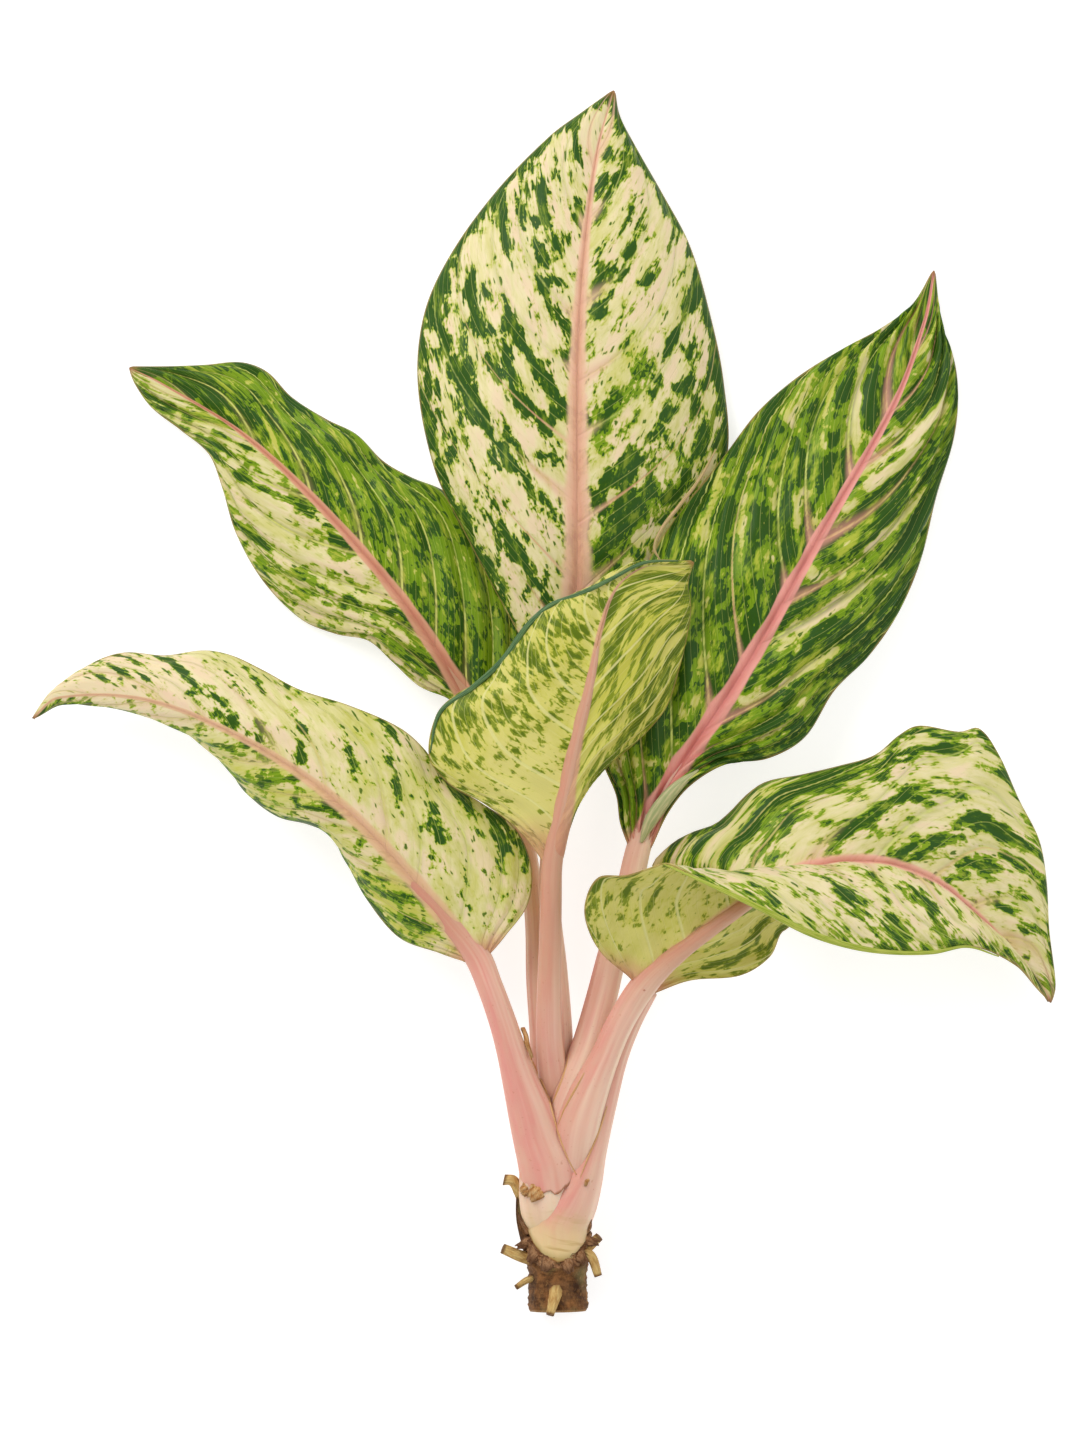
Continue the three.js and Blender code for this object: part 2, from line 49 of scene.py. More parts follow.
COLUMN_CROWDING = 1.25  # toward the midrib
BLADE_THICKNESS_MM = (0.8, 0.45)  # at the midrib and at the margin
KEEL_DEPTH_MM = (3.0, 0.35)  # at the base and at the tip
KEEL_WIDTH_MM = (2.2, 0.7)
CHANNEL_DEPTH = 0.175  # of the keel's depth, in the upper face
ARCH_FADE = 0.7
PUCKER_WAVES = 7
PUCKER_MM = 0.12
PUCKERS_PER_MM = (0.02, 0.07)
PUCKER_HALF_MM = 40  # each half of a blade counts as this wide for them
FURROW_MM = 0.9
VEIN_SPAN = (-0.42, 0.97)  # where the first and the last side vein leave the midrib
EXTRA_VEINS = 5  # for those that start below the base
RIGHT_VEINS_FROM = 60.0  # the number of the right half's first vein
SIDE_PAGES = 40  # how far apart in the noises the two halves of a blade are
SEED_PAGES = 7
MARK_BEND = 0.004  # how much further back the marks lie, for each square millimetre from the midrib
VEIN_SLANT = 0.7  # share of a step along a side vein that leads away from the midrib
EDGE_REACH_MM = 3.5  # how far in from the margins the marks are denser
STALK_SIDES = 48
STALK_RINGS = 130
TUBE_STEPS = 500
FLOOR_REACH = 3.0
CAMERA_DISTANCE = 3.0
PHOTO_WIDTH_PX = 1086
MM_PER_PX = 0.3
FRAME_WIDTH = PHOTO_WIDTH_PX * MM_PER_PX * MM  # at the height of the leaves
LEAF_HEIGHT = 20 * MM
AIM_MM = (0.0, -6.6)
SENSOR = 36.0

# A leaf is given by its midrib and its two margins, from base to tip, in millimetres. A fourth
# number is the share of the leaf's length where a point belongs, for the leaf that twists.
LEAVES = {
    "top": {
        "mid": [(8, 6, 19), (10, 31, 22), (10.2, 76, 22), (10.5, 108, 20), (12.6, 138, 15),
                (16.5, 167, 7), (21.3, 184.5, 1.6)],
        "left": [(5, 6, 19), (-3, 14, 18), (-14, 33, 17), (-24, 52, 15), (-32.5, 70, 13), (-37.6, 96, 9),
                 (-35.7, 117, 6), (-28, 134.5, 4.5), (-14, 154, 4), (2, 170.5, 3.5), (12, 178, 3),
                 (21, 184.5, 1.6)],
        "right": [(11, 6, 19), (18, 14, 16), (34, 31, 10), (47, 52, 6), (55.4, 74, 4), (54.3, 97, 4),
                  (50, 118, 4), (44, 138, 3.5), (35.5, 154, 3), (27, 169, 2.5), (23, 177, 2.2),
                  (21.6, 184.5, 1.6)],
    },
    "left_upper": {
        "mid": [(-13, -15, 12), (-24, 3.6, 12), (-43, 31.5, 13), (-67, 59, 12), (-91, 81, 8),
                (-115, 96, 3.5), (-124.8, 100.8, 1.2)],
        "left": [(-15.7, -15.8, 12), (-20.5, -6, 10), (-28, 1.2, 9), (-37, 4.8, 8), (-45, 12, 8),
                 (-52.5, 18.6, 8), (-62.4, 20.7, 5), (-73, 25.2, 3), (-84.3, 36.6, 4), (-92.4, 51, 6),
                 (-96.6, 65, 8), (-100.5, 74.7, 8), (-109, 82, 5), (-118, 89, 3), (-123, 96, 2),
                 (-124.8, 100.5, 1.2)],
        "right": [(-10.4, -14.2, 12), (-8, -5.4, 10.5), (-6.3, 9.6, 9), (-7.8, 26, 6), (-13, 41, 4),
                  (-20.4, 54.6, 3), (-29.4, 63.3, 3), (-40, 67.8, 3), (-48.3, 72.6, 2), (-56.4, 80.7, 4),
                  (-65.4, 85.2, 3), (-76, 92, 1.8), (-83.4, 99.6, 2.5), (-91, 102.4, 3),
                  (-102, 101.6, 2.5), (-113, 101.2, 2), (-124.6, 101.2, 1.2)],
    },
    "right_upper": {
        "mid": [(28.8, -43.2, 24), (36.6, -26.4, 25), (59, 8, 24), (83, 50, 19), (105.6, 89.7, 11),
                (114.9, 114.6, 5), (118, 130.2, 1.4)],
        "left": [(25.2, -42.4, 24), (23.1, -36, 24), (22, -28, 24), (18, -18, 25), (16.5, -7, 25),
                 (18.6, 6.6, 25), (23, 21.6, 24), (29, 36.6, 22), (34.2, 47, 20), (44, 60.6, 14),
                 (54.6, 74, 10.5), (65, 87.6, 8), (77, 98, 7), (90.6, 106.5, 5), (102.6, 113, 4),
                 (111.6, 120, 3), (117.8, 130.2, 1.4)],
        "right": [(32.4, -43.9, 24), (37.5, -33, 26), (44, -25, 27), (54.6, -18.6, 24),
                  (67.5, -16.8, 20), (78.6, -10.5, 15), (87.6, 3.6, 12), (98, 14, 9), (107, 27, 6),
                  (113.7, 42.6, 4), (118.5, 62, 3), (123.6, 78.6, 2), (125.1, 90.6, 1.8),
                  (124.2, 102, 1.8), (120, 114.6, 2), (118.2, 130.2, 1.4)],
    },
    "front": {
        "mid": [(2.7, -48, 36.5), (5.7, -32.4, 40), (9.6, -12.9, 44), (14.1, 6.6, 46), (17, 22, 46),
                (22, 34.5, 44), (32, 41, 40), (44.7, 41.4, 36)],
        "left": [(0.5, -48, 36.5), (-7, -38.4, 38), (-17.4, -30.3, 37), (-28, -24.3, 36),
                 (-33.9, -16.5, 36), (-31.8, -4, 37), (-26.4, 1.8, 38), (-16, 8, 40), (-8.4, 18.6, 42),
                 (0.6, 28, 43), (12.6, 33, 43), (23, 38, 42), (32, 42, 40), (44.7, 41.8, 36)],
        "right": [(5, -48, 36.5), (7, -40, 38), (11, -29.4, 38), (18.6, -19.8, 37), (29, -10.8, 34),
                  (36.6, -1.8, 33), (40.5, 9.6, 33), (43, 20, 33), (44.1, 28.2, 33), (43.2, 35, 34),
                  (44.7, 41.2, 36)],
    },
    "left_lower": {
        "mid": [(-19.5, -76.3, 30), (-37, -55, 35), (-61, -30, 38), (-88, -11.7, 35), (-118, 0.6, 28),
                (-145, 1.5, 17), (-153.6, -4.8, 9)],
        "left": [(-23.5, -77.7, 30), (-31, -75, 27), (-43, -70.5, 23), (-52.5, -59.4, 21),
                 (-58.8, -48, 22), (-63, -40, 26), (-70, -36.6, 27), (-79.5, -34.2, 23), (-88, -28, 20),
                 (-94.5, -19, 18), (-101.4, -10.8, 17), (-110.4, -5.7, 18), (-121, -1.8, 18),
                 (-133, 0.3, 16), (-143.4, 0.6, 13), (-153.6, -5, 9)],
        "right": [(-15.5, -74.9, 30), (-11.4, -70, 31), (-4.5, -60.3, 30), (-3.6, -49, 29),
                  (-8.4, -37.8, 29), (-19, -30, 29), (-28.8, -24, 29), (-35.4, -14.4, 30),
                  (-43, -7.8, 30), (-58, -1.2, 30), (-73, 3.6, 28), (-84.3, 9.6, 26), (-93.3, 13.8, 25),
                  (-101.4, 15.3, 24), (-113.4, 13.8, 22), (-125.4, 14.7, 20), (-134.4, 12, 18),
                  (-145, 5, 14), (-153.4, -4.6, 9)],
    },
    "right_lower": {
        "mid": [(30, -85, 31, 0), (38, -77.4, 34, 0.08), (50, -68, 38, 0.18), (60.6, -60.3, 40, 0.27),
                (74, -51.3, 38, 0.38), (89, -48, 35, 0.48), (102.6, -48.3, 32, 0.57),
                (116, -52.8, 29, 0.66), (128, -62, 25, 0.76), (140, -74, 20, 0.87),
                (147.6, -83, 16, 0.94), (152.7, -90.3, 13, 1)],
        "left": [(26.6, -82.8, 32, 0), (18, -75.6, 39, 0.035), (13.2, -67, 46, 0.09),
                 (12.6, -59.4, 50, 0.14), (16.5, -52.2, 53, 0.19), (24.6, -51.6, 55, 0.23),
                 (32, -49.2, 58, 0.27), (37.2, -48, 61, 0.31), (47, -52.8, 66, 0.36),
                 (60.6, -58.8, 68, 0.42), (72.6, -65.4, 65, 0.48), (86, -70.8, 58, 0.55),
                 (101, -74, 50, 0.64), (116, -74.4, 42, 0.72), (128, -73, 34, 0.8), (141.6, -79, 23, 0.9),
                 (148.5, -86.4, 17, 0.96), (152.5, -90.3, 13, 1)],
        "right": [(33.5, -87.1, 30, 0), (44, -83.4, 27, 0.06), (59, -82, 22, 0.13), (68, -76.5, 18, 0.19),
                  (71.4, -69.6, 13, 0.235), (74, -66, 11, 0.26), (63, -56.5, 9, 0.29), (44, -52, 10, 0.315),
                  (33, -49.6, 12, 0.34), (38.6, -42.8, 15, 0.36), (45, -39.2, 16.5, 0.377),
                  (51.6, -36.8, 18, 0.393), (56.4, -32.8, 19, 0.407), (61, -28, 20, 0.42),
                  (67, -24, 20, 0.44), (77, -22, 21, 0.465), (89, -19.2, 21, 0.5), (99.6, -16, 20, 0.54),
                  (107, -10, 18, 0.575), (113, -7.2, 17, 0.61), (125, -9, 15, 0.66), (131, -8, 14, 0.69),
                  (137, -16, 14, 0.74), (143, -29.4, 14, 0.79), (149, -41.4, 14, 0.84),
                  (151.2, -53.4, 14, 0.88), (152, -68.4, 14, 0.93), (154, -85, 13, 0.98),
                  (152.9, -90.3, 13, 1)],
    },
}

# How each blade is built and coloured. The pairs of lean, slope, drawn, edges and the levels are for
# its left and its right half. upper is 1 where the upper face looks along the normal of the drawn
# surface, and -1 where the underside does. arch is how far each half bulges and ridge how high the
# swells between the side veins are, about, in millimetres. veins is the number of side veins. lean
# says how far they run toward the tip before they reach the margin, as shares of the length: evenly,
# and bending.
# slope says how steeply the marks leave the midrib, steeper how much steeper they do so at the tip,
# and flow how closely they follow the veins further out. marks is the size of a mark across and
# along the veins in millimetres, drawn how much longer it is, blotch the share of round blotches
# among the marks, and rough how ragged they are.
# mottle is how much lighter green stands in the dark, flecks how many small flecks there are,
# furrow_shade how strongly painted shade darkens the green beside the side veins, edges how much more
# is marked at the margins, and join how many millimetres of the base are pink like the stalk.
# rib is the midrib's half width at its base and tip and the power of its taper, rib_edge where its
# soft edge ends and starts, in half widths, and rib_tone its colours at the sides and in the middle.
# vein_look is the strength of the pink veins, the pale veins and the midrib.
# cover says how much is marked, tint how yellow green the pale ground is, and dark how much of the
# marks is dark. Each starts from a pair of levels and adds patches: (x, y, reach
# across the veins, reach along them, amount), in millimetres.
BLADES = {
    "top": {
        "slot": "blade_cream", "seed": 1, "upper": 1, "arch": 6, "ridge": 0.25, "veins": 8,
        "lean": ((0.20, 0.13), (0.20, 0.13)),
        "slope": (1.05, 0.95), "steeper": 0.7, "flow": 0.15, "marks": (5.2, 7.5), "drawn": (1.0, 1.0),
        "blotch": 0.5, "rough": 0.38,
        "mottle": 0.35, "flecks": 0.02, "furrow_shade": 0.1, "edges": (0.75, 0.9), "join": 9.0,
        "rib": (5.4, 0.2, 1.05), "rib_edge": (1.15, 0.65), "rib_tone": ((226, 182, 152), (208, 140, 116)),
        "vein_look": (0.7, 0.35, 0.9),
        "cover": ((0.24, 0.26), [
            (25, 62, 14, 20, 0.15), (-15, 60, 12, 20, 0.12), (1, 149, 4.5, 6, 0.8),
            (10, 167, 2.2, 6, 0.7), (25, 163, 3, 9, 0.7), (0, 134, 2.4, 5, 0.8), (-21, 117, 4.5, 8, 0.7),
            (-4, 103, 4.5, 15, 0.75), (-5, 91, 4.5, 14, 0.75), (-21, 91, 5, 9, 0.6),
            (-10, 73, 4, 20, 0.65), (-8, 44, 4.5, 14, 0.6), (-28, 105, 4, 9, 0.6),
            (-28, 125, 2.5, 6, 0.5), (-12, 151, 3, 7, 0.5), (-12, 142, 2.4, 5, 0.6),
            (-7, 145, 2, 3.5, 0.6), (4, 116, 3, 8, 0.7), (18, 126, 3.2, 5, 0.75), (25, 130, 2.6, 4, 0.7),
            (17, 119, 2.6, 4, 0.7), (44, 119, 3, 12, 0.8), (50, 98, 3.5, 12, 0.5), (20, 87, 6, 9, 0.75),
            (23, 67, 6, 12, 0.75), (27, 56, 5, 12, 0.7), (40, 64, 6, 9, 0.65), (18, 44, 9, 12, 0.7),
            (40, 92, 3.5, 8, 0.6), (48, 80, 5, 7, 0.6), (32, 101, 4, 6, 0.4), (25, 144, 2.4, 3, 0.7),
            (38, 138, 2.4, 3, 0.7), (15, 142, 2, 4, 0.7), (17, 156, 1.5, 5, 0.7), (-9, 124, 5, 8, -0.3),
            (36, 124, 6, 9, -0.3), (-10, 63, 4, 14, -0.35), (-8, 82, 2.4, 14, -0.35),
            (14, 172, 4, 8, -0.5), (28, 80, 3, 9, -0.2)]),
        "tint": ((0.15, 0.25), [
            (18, 44, 12, 12, 0.5), (22, 86, 8, 10, 0.3), (30, 110, 12, 10, 0.25), (0, 90, 12, 14, 0.2),
            (36, 124, 8, 9, -0.3), (14, 172, 8, 8, -0.3)]),
        "dark": ((1.0, 0.9), [
            (18, 44, 9, 12, -1.2), (20, 84, 6, 9, -0.9), (30, 105, 10, 10, -0.4), (34, 60, 7, 12, -0.7)]),
    },
    "left_upper": {
        "slot": "blade_green", "seed": 2, "upper": 1, "arch": 5, "ridge": 0.85, "veins": 7,
        "lean": ((0.30, 0.16), (0.30, 0.16)),
        "slope": (1.3, 1.3), "steeper": 0.4, "flow": 0.4, "marks": (4.4, 8.0), "drawn": (1.2, 1.0),
        "blotch": 0.5, "rough": 0.36,
        "mottle": 1.1, "flecks": 0.0, "furrow_shade": 0.25, "edges": (0.2, 0.2), "join": 9.0,
        "rib": (2.7, 0.3, 1.1), "rib_edge": (1.1, 0.8), "rib_tone": ((216, 158, 128), (198, 120, 100)),
        "vein_look": (0.15, 1.0, 0.95),
        "cover": ((0.32, 1.05), [
            (-104, 86, 6, 9, 0.5), (-88, 50, 3, 7, 0.5), (-62, 48, 3.5, 8, 0.6), (-76, 61, 3, 7, 0.6),
            (-52, 28, 5, 12, 0.7), (-36, 12, 4, 9, 0.6), (-24, 4, 9, 16, 0.7), (-96, 76, 2.5, 8, 0.5),
            (-70, 36, 2.5, 6, 0.5), (-80, 52, 4, 8, -0.2), (-59, 33, 2.6, 8, -0.3), (-92, 67, 4, 8, -0.2),
            (-42, 20, 2, 8, -0.2), (-81, 79, 1.8, 7, -1.1), (-46, 46, 1.5, 6, -0.6),
            (-30, 30, 1.2, 6, -0.5)]),
        "tint": ((0.3, 0.9), [(-30, 8, 14, 14, 0.4)]),
        "dark": ((0.5, -0.2), [
            (-98, 94, 12, 14, 0.8), (-64, 64, 5, 16, 0.9), (-42, 60, 3, 12, 0.7), (-25, 40, 10, 12, -1.1),
            (-14, 10, 10, 8, -0.8), (-30, 8, 8, 12, -0.4), (-40, 56, 3, 8, -0.5), (-12, 30, 6, 10, -0.5)]),
    },
    "right_upper": {
        "slot": "blade_green", "seed": 3, "upper": 1, "arch": 5, "ridge": 1.3, "veins": 9,
        "lean": ((0.27, 0.20), (0.27, 0.20)),
        "slope": (1.3, 1.1), "steeper": 0.3, "flow": 0.45, "marks": (8.0, 12.0), "drawn": (1.0, 1.0),
        "blotch": 0.5, "rough": 0.26,
        "mottle": 1.0, "flecks": 0.0, "furrow_shade": 0.5, "edges": (0.3, 0.4), "join": 9.0,
        "rib": (3.9, 0.35, 1.1), "rib_edge": (1.06, 0.84), "rib_tone": ((226, 156, 142), (202, 114, 106)),
        "vein_look": (0.65, 1.0, 1.0),
        "cover": ((0.95, 0.9), [
            (94, 87, 3, 8, -1.4), (118, 86, 3, 13, -1.1), (107, 71, 3, 7, -1.1), (103, 79, 2.6, 6, -0.9),
            (94, 33, 2.4, 6, -1.0), (81, 25, 3.4, 7, -0.9), (78, 10, 2.2, 12, -1.2), (59, 53, 2, 7, -0.8),
            (70, -8, 2.4, 9, -0.8), (25, -35, 6, 8, -0.6), (52, 64, 2, 5, -0.7), (34, 20, 2.4, 8, -0.6),
            (102, 50, 2.5, 8, -0.8), (76, 56, 1.6, 9, -0.6), (23, -22, 5, 10, -0.5),
            (45, -10, 2, 6, -0.6), (86, 92, 2, 6, -0.8), (112, 104, 2, 6, -0.7), (60, 76, 3, 7, -0.5)]),
        "tint": ((0.7, 0.5), [(94, 87, 6, 8, -0.2), (118, 86, 6, 13, -0.3)]),
        "dark": ((0.4, 0.45), [
            (26, -26, 10, 12, -1.5), (26, -36, 8, 8, -1.5), (20, 0, 6, 8, -0.8), (40, 26, 8, 12, 0.4),
            (70, 58, 8, 10, 0.4), (62, 36, 8, 10, -0.3), (106, 56, 8, 14, 0.3), (56, -8, 6, 12, -0.5),
            (74, 78, 8, 12, -0.6), (38, 48, 8, 12, -0.7), (84, 64, 4, 8, -0.6), (44, 8, 4, 8, -0.5)]),
    },
    "front": {
        "slot": "blade_underside", "seed": 4, "upper": -1, "arch": 4, "ridge": 0.35, "veins": 7,
        "lean": ((0.22, 0.16), (0.5, 0.12)),
        "slope": (0.3, 3.0), "steeper": 0.0, "flow": 0.15, "marks": (2.0, 5.0), "drawn": (1.0, 2.6),
        "blotch": 0.12, "rough": 0.38,
        "mottle": 0.5, "flecks": 0.0, "furrow_shade": 0.15, "edges": (0.3, 0.3), "join": 20.0,
        "rib": (2.8, 0.0, 1.1), "rib_edge": (1.15, 0.8), "rib_tone": ((210, 156, 130), (196, 124, 104)),
        "vein_look": (0.3, 0.6, 0.8),
        "cover": ((0.26, 0.42), [
            (10, 21, 3.4, 6, 0.8), (2, 19, 2.8, 4, 0.6), (-5, 13, 3.4, 5, 0.7), (0, 10, 2.4, 6, 0.5),
            (9, 12, 2.4, 5, 0.6), (-6, 4, 2.6, 4, 0.6), (-11, -3, 3.6, 8, 0.6), (-22, -3, 3.6, 7, 0.65),
            (-29, -14, 3, 6, 0.3), (-25, -19, 2, 5, 0.2), (-12, -29, 1.6, 3, 0.5),
            (-19, -15, 1.5, 3, 0.5), (24, 22, 3.6, 12, 0.6), (31, 36, 3, 7, 0.7), (33, 6, 4, 10, 0.6),
            (26, -8, 4, 8, 0.65), (39, 24, 4, 8, 0.4), (-3, -30, 10, 14, -0.5), (-30, -8, 4, 6, 0.1),
            (-20, -22, 6, 8, -0.2), (20, 30, 3, 6, 0.5)]),
        "tint": ((0.25, 0.55), [
            (30, 20, 14, 16, 0.6), (0, 16, 12, 12, 0.6), (-24, -10, 8, 10, 0.4), (-5, -28, 14, 16, -0.8)]),
        "dark": ((0.35, 0.35), []),
    },
    "left_lower": {
        "slot": "blade_cream", "seed": 5, "upper": 1, "arch": 4, "ridge": 0.3, "veins": 8,
        "lean": ((0.24, 0.14), (0.24, 0.14)),
        "slope": (1.0, 1.0), "steeper": 0.5, "flow": 0.15, "marks": (3.3, 4.8), "drawn": (1.5, 1.0),
        "blotch": 0.5, "rough": 0.38,
        "mottle": 0.3, "flecks": 0.03, "furrow_shade": 0.1, "edges": (0.9, 0.3), "join": 13.0,
        "rib": (3.6, 0.2, 1.7), "rib_edge": (1.2, 0.7), "rib_tone": ((218, 176, 136), (208, 150, 122)),
        "vein_look": (0.3, 0.5, 0.85),
        "cover": ((0.28, 0.0), [
            (-107, 8, 2.6, 3, 0.9), (-104, 2, 3, 5, 0.8), (-95, -2, 3.4, 6, 0.8), (-83, -10, 3.4, 6, 0.8),
            (-92, 5, 2.8, 3, 0.8), (-85, 5, 2, 3.5, 0.8), (-72, -7, 1.7, 5, 0.8), (-73, -13, 2, 5, 0.7),
            (-57, -18, 3, 7, 0.85), (-44, -25, 2.6, 9, 0.8), (-46, -9, 2.2, 4, 0.7),
            (-31, -37, 3.6, 6, 0.85), (-22, -32, 3, 6, 0.7), (-12, -43, 4.6, 7, 0.85),
            (-23, -53, 1.5, 2.5, 0.8), (-15, -52, 1.5, 1.5, 0.9), (-128, 10, 2, 3, 1.2),
            (-120, 8, 2, 3, 1.2), (-132, 7, 2, 3, 0.9), (-128, 14, 1.6, 7, 1.0), (-112, 12, 2, 3, 0.8),
            (-91, -13, 4, 6, 0.6), (-85, -23, 4, 13, 0.6), (-67, -31, 3, 6, 0.5), (-45, -58, 3.4, 9, 0.8),
            (-38, -66, 3.4, 7, 0.8), (-36, -30, 8, 10, 0.2), (-52, -52, 2, 8, 0.4), (-26, -25, 4, 4, 0.7),
            (-14, -31, 4, 5, 0.8), (-6, -42, 4, 5, 0.7)]),
        "tint": ((0.65, 0.35), [
            (-42, -63, 14, 14, 0.5), (-17, -43, 20, 18, 0.35), (-47, -18, 14, 18, 0.25),
            (-120, 6, 24, 14, -1.3), (-140, 0, 10, 10, -0.6), (-85, -23, 8, 12, 0.3)]),
        "dark": ((0.5, 0.8), [(-85, -23, 8, 14, -0.3), (-42, -63, 8, 9, -0.5), (-80, -12, 5, 6, -0.4)]),
    },
    "right_lower": {
        "slot": "blade_cream", "seed": 6, "upper": -1, "arch": -3.5, "ridge": 0.35, "veins": 9,
        "lean": ((0.20, 0.12), (0.20, 0.12)),
        "slope": (0.9, 1.1), "steeper": 0.3, "flow": 0.3, "marks": (3.8, 5.6), "drawn": (1.0, 1.5),
        "blotch": 0.35, "rough": 0.38,
        "mottle": 0.45, "flecks": 0.0, "furrow_shade": 0.15, "edges": (0.45, 0.45), "join": 13.0,
        "rib": (4.4, 0.6, 1.1), "rib_edge": (1.15, 0.6), "rib_tone": ((226, 166, 146), (208, 132, 118)),
        "vein_look": (0.35, 0.6, 0.9),
        "cover": ((0.2, 0.2), [
            (122, -14, 3.4, 7, 0.8), (108, -16, 3.2, 6, 0.7), (101, -22, 3.2, 8, 0.7),
            (110, -25, 3, 6, 0.6), (101, -32, 4, 11, 0.75), (80, -26, 4, 12, 0.75),
            (70, -29, 3.4, 8, 0.6), (73, -36, 3.8, 11, 0.7), (60, -41, 3.8, 11, 0.7),
            (48, -41, 4, 8, 0.6), (92, -39, 3.2, 9, 0.7), (116, -28, 2.4, 5, 0.6),
            (127, -35, 3.2, 8, 0.75), (116, -43, 4.4, 10, 0.8), (137, -39, 3.6, 6, 0.8),
            (144, -49, 3, 5, 0.7), (129, -49, 4.2, 7, 0.85), (126, -29, 1.4, 3, 0.8),
            (137, -22, 3, 5, 0.7), (137, -61, 2, 3.4, 0.7), (148, -69, 2, 6, 0.6), (91, -58, 5, 8, 0.8),
            (98, -53, 2.8, 6, 0.7), (114, -60, 3.4, 5, 0.8), (104, -66, 2.8, 5, 0.8),
            (68, -59, 2.6, 5, 0.7), (107, -72, 2, 5, 0.7), (120, -70, 2, 6, 0.5), (60, -51, 2, 10, 0.5),
            (25, -57, 3.6, 4, 0.7), (34, -57, 2.4, 3, 0.7), (37, -63, 1.8, 3, 0.6), (64, -69, 3, 7, 0.8),
            (53, -78, 3, 8, 0.8), (123, -22, 5, 8, -0.3), (133, -30, 4, 7, -0.3), (80, -41, 2, 9, -0.3),
            (30, -72, 8, 8, -0.5), (14, -62, 6, 3, 0.3), (17, -53, 5, 3, 0.6), (16, -70, 6, 3, 0.2),
            (42, -43, 4, 8, 0.3)]),
        "tint": ((0.25, 0.25), [
            (30, -66, 20, 20, 0.1), (60, -38, 12, 12, 0.35), (56, -76, 10, 10, 0.4),
            (105, -72, 8, 5, 0.4), (92, -62, 12, 16, -0.5), (120, -66, 8, 10, -0.5)]),
        "dark": ((0.5, 0.6), [(30, -60, 14, 14, -0.2), (60, -40, 8, 10, -0.3), (80, -40, 6, 8, -0.3)]),
    },
}

# A stalk's centre line with its half width and half depth, in millimetres: x, y, z, width, depth.
# It starts hidden inside the sheaths and runs on as the thick start of its blade's midrib.
STALKS = {
    "top": [(5, -136, 11, 3, 3), (5.4, -113.4, 15, 3.6, 3.4), (5.4, -101.4, 16, 3.6, 3.4),
            (3.9, -80, 17, 3.4, 3.2), (2.1, -62, 17.5, 3.2, 3), (2.4, -44, 18, 3.1, 3),
            (6, -12, 18.5, 3, 2.8), (8, 6.4, 18.4, 3, 2.6), (9, 18, 19.6, 2.8, 2.4),
            (9.9, 32, 20.6, 2.2, 1.6), (10.1, 50, 20.8, 1.4, 0.9)],
    "left_upper": [(4, -142, 9, 3, 3), (-0.6, -113.4, 10.5, 3.5, 3.3), (-0.6, -101.4, 10.5, 3.4, 3.2),
                   (-1.8, -83.4, 10.5, 3.3, 3.1), (-2.4, -65.4, 11, 3.1, 3), (-4.5, -47.4, 11, 3, 2.9),
                   (-8.4, -29.4, 11.5, 3, 2.8), (-13.2, -14.6, 11.4, 3, 2.6), (-18.4, -5.5, 11, 2.8, 2.2),
                   (-24, 3.6, 10.9, 2.3, 1.7), (-33, 17, 11.2, 1.5, 1)],
    "right_upper": [(4.6, -136, 14, 4.5, 4.5), (6.2, -126, 18, 5, 4.5), (9.6, -113.4, 19.5, 5.1, 4.3),
                    (13.5, -103, 19.4, 4.9, 3.9), (17.4, -89.4, 18.5, 4.7, 3.7), (20.7, -76, 20, 4.4, 3.5),
                    (24.9, -61, 22, 4.1, 3.3), (28.9, -42.8, 23.2, 3.7, 2.8), (32.6, -34.6, 23.4, 3.3, 2.2),
                    (37, -25.8, 23.8, 2.6, 1.7), (45, -13.5, 23.6, 1.8, 1.1)],
    "front": [(5.6, -136, 10, 3, 3), (4.4, -123, 13.6, 4.2, 3.6), (2.9, -111, 19, 4.4, 4),
              (2, -101.4, 24, 4.1, 3.6), (1.8, -89.4, 29, 3.7, 3.4), (2.1, -74.4, 32.6, 3.4, 3.2),
              (2.4, -59.4, 35.5, 3.2, 3), (2.8, -47.6, 37.2, 3.1, 2.8), (5.7, -32.4, 40.2, 2.8, 2.6),
              (9.6, -12.9, 44.2, 2.2, 2.1), (14.1, 6.6, 46.2, 1.6, 1.6), (17, 22, 46.2, 0.8, 0.9),
              (18.6, 27, 45.4, 0.3, 0.4)],
    "left_lower": [(2.8, -151.5, 14, 8.4, 6.6), (1.2, -139, 17.5, 8.7, 6), (-1.4, -131.4, 19, 7.6, 5.5),
                   (-4, -122.4, 21, 6.7, 5), (-6.9, -113.4, 23, 5.4, 4.5), (-9.5, -104.4, 25, 4.5, 4),
                   (-12.2, -95.4, 27, 4.1, 3.6), (-15.9, -85, 29, 3.9, 3.3), (-19.7, -76.0, 29.4, 4, 3),
                   (-27.5, -66, 31, 3.4, 2.4), (-37, -55, 33.4, 2.6, 1.7), (-48, -42, 35.4, 1.7, 1)],
    "right_lower": [(7.4, -150, 12, 4.6, 4), (9.1, -137.4, 17, 5.4, 4.5), (10.2, -128.4, 20.6, 6.6, 4.6),
                    (12.9, -119.4, 22.6, 6.1, 4.2), (18.6, -106.2, 25, 4.4, 3.8),
                    (23.4, -95.4, 28, 4.1, 3.5),
                    (30.2, -84.6, 31.2, 4, 3.2), (38, -77, 35, 3, 2.6), (50, -67.8, 39.4, 2.2, 2),
                    (60.6, -60.3, 41, 1.9, 1.6), (70, -54, 39.6, 1.2, 1)],
}
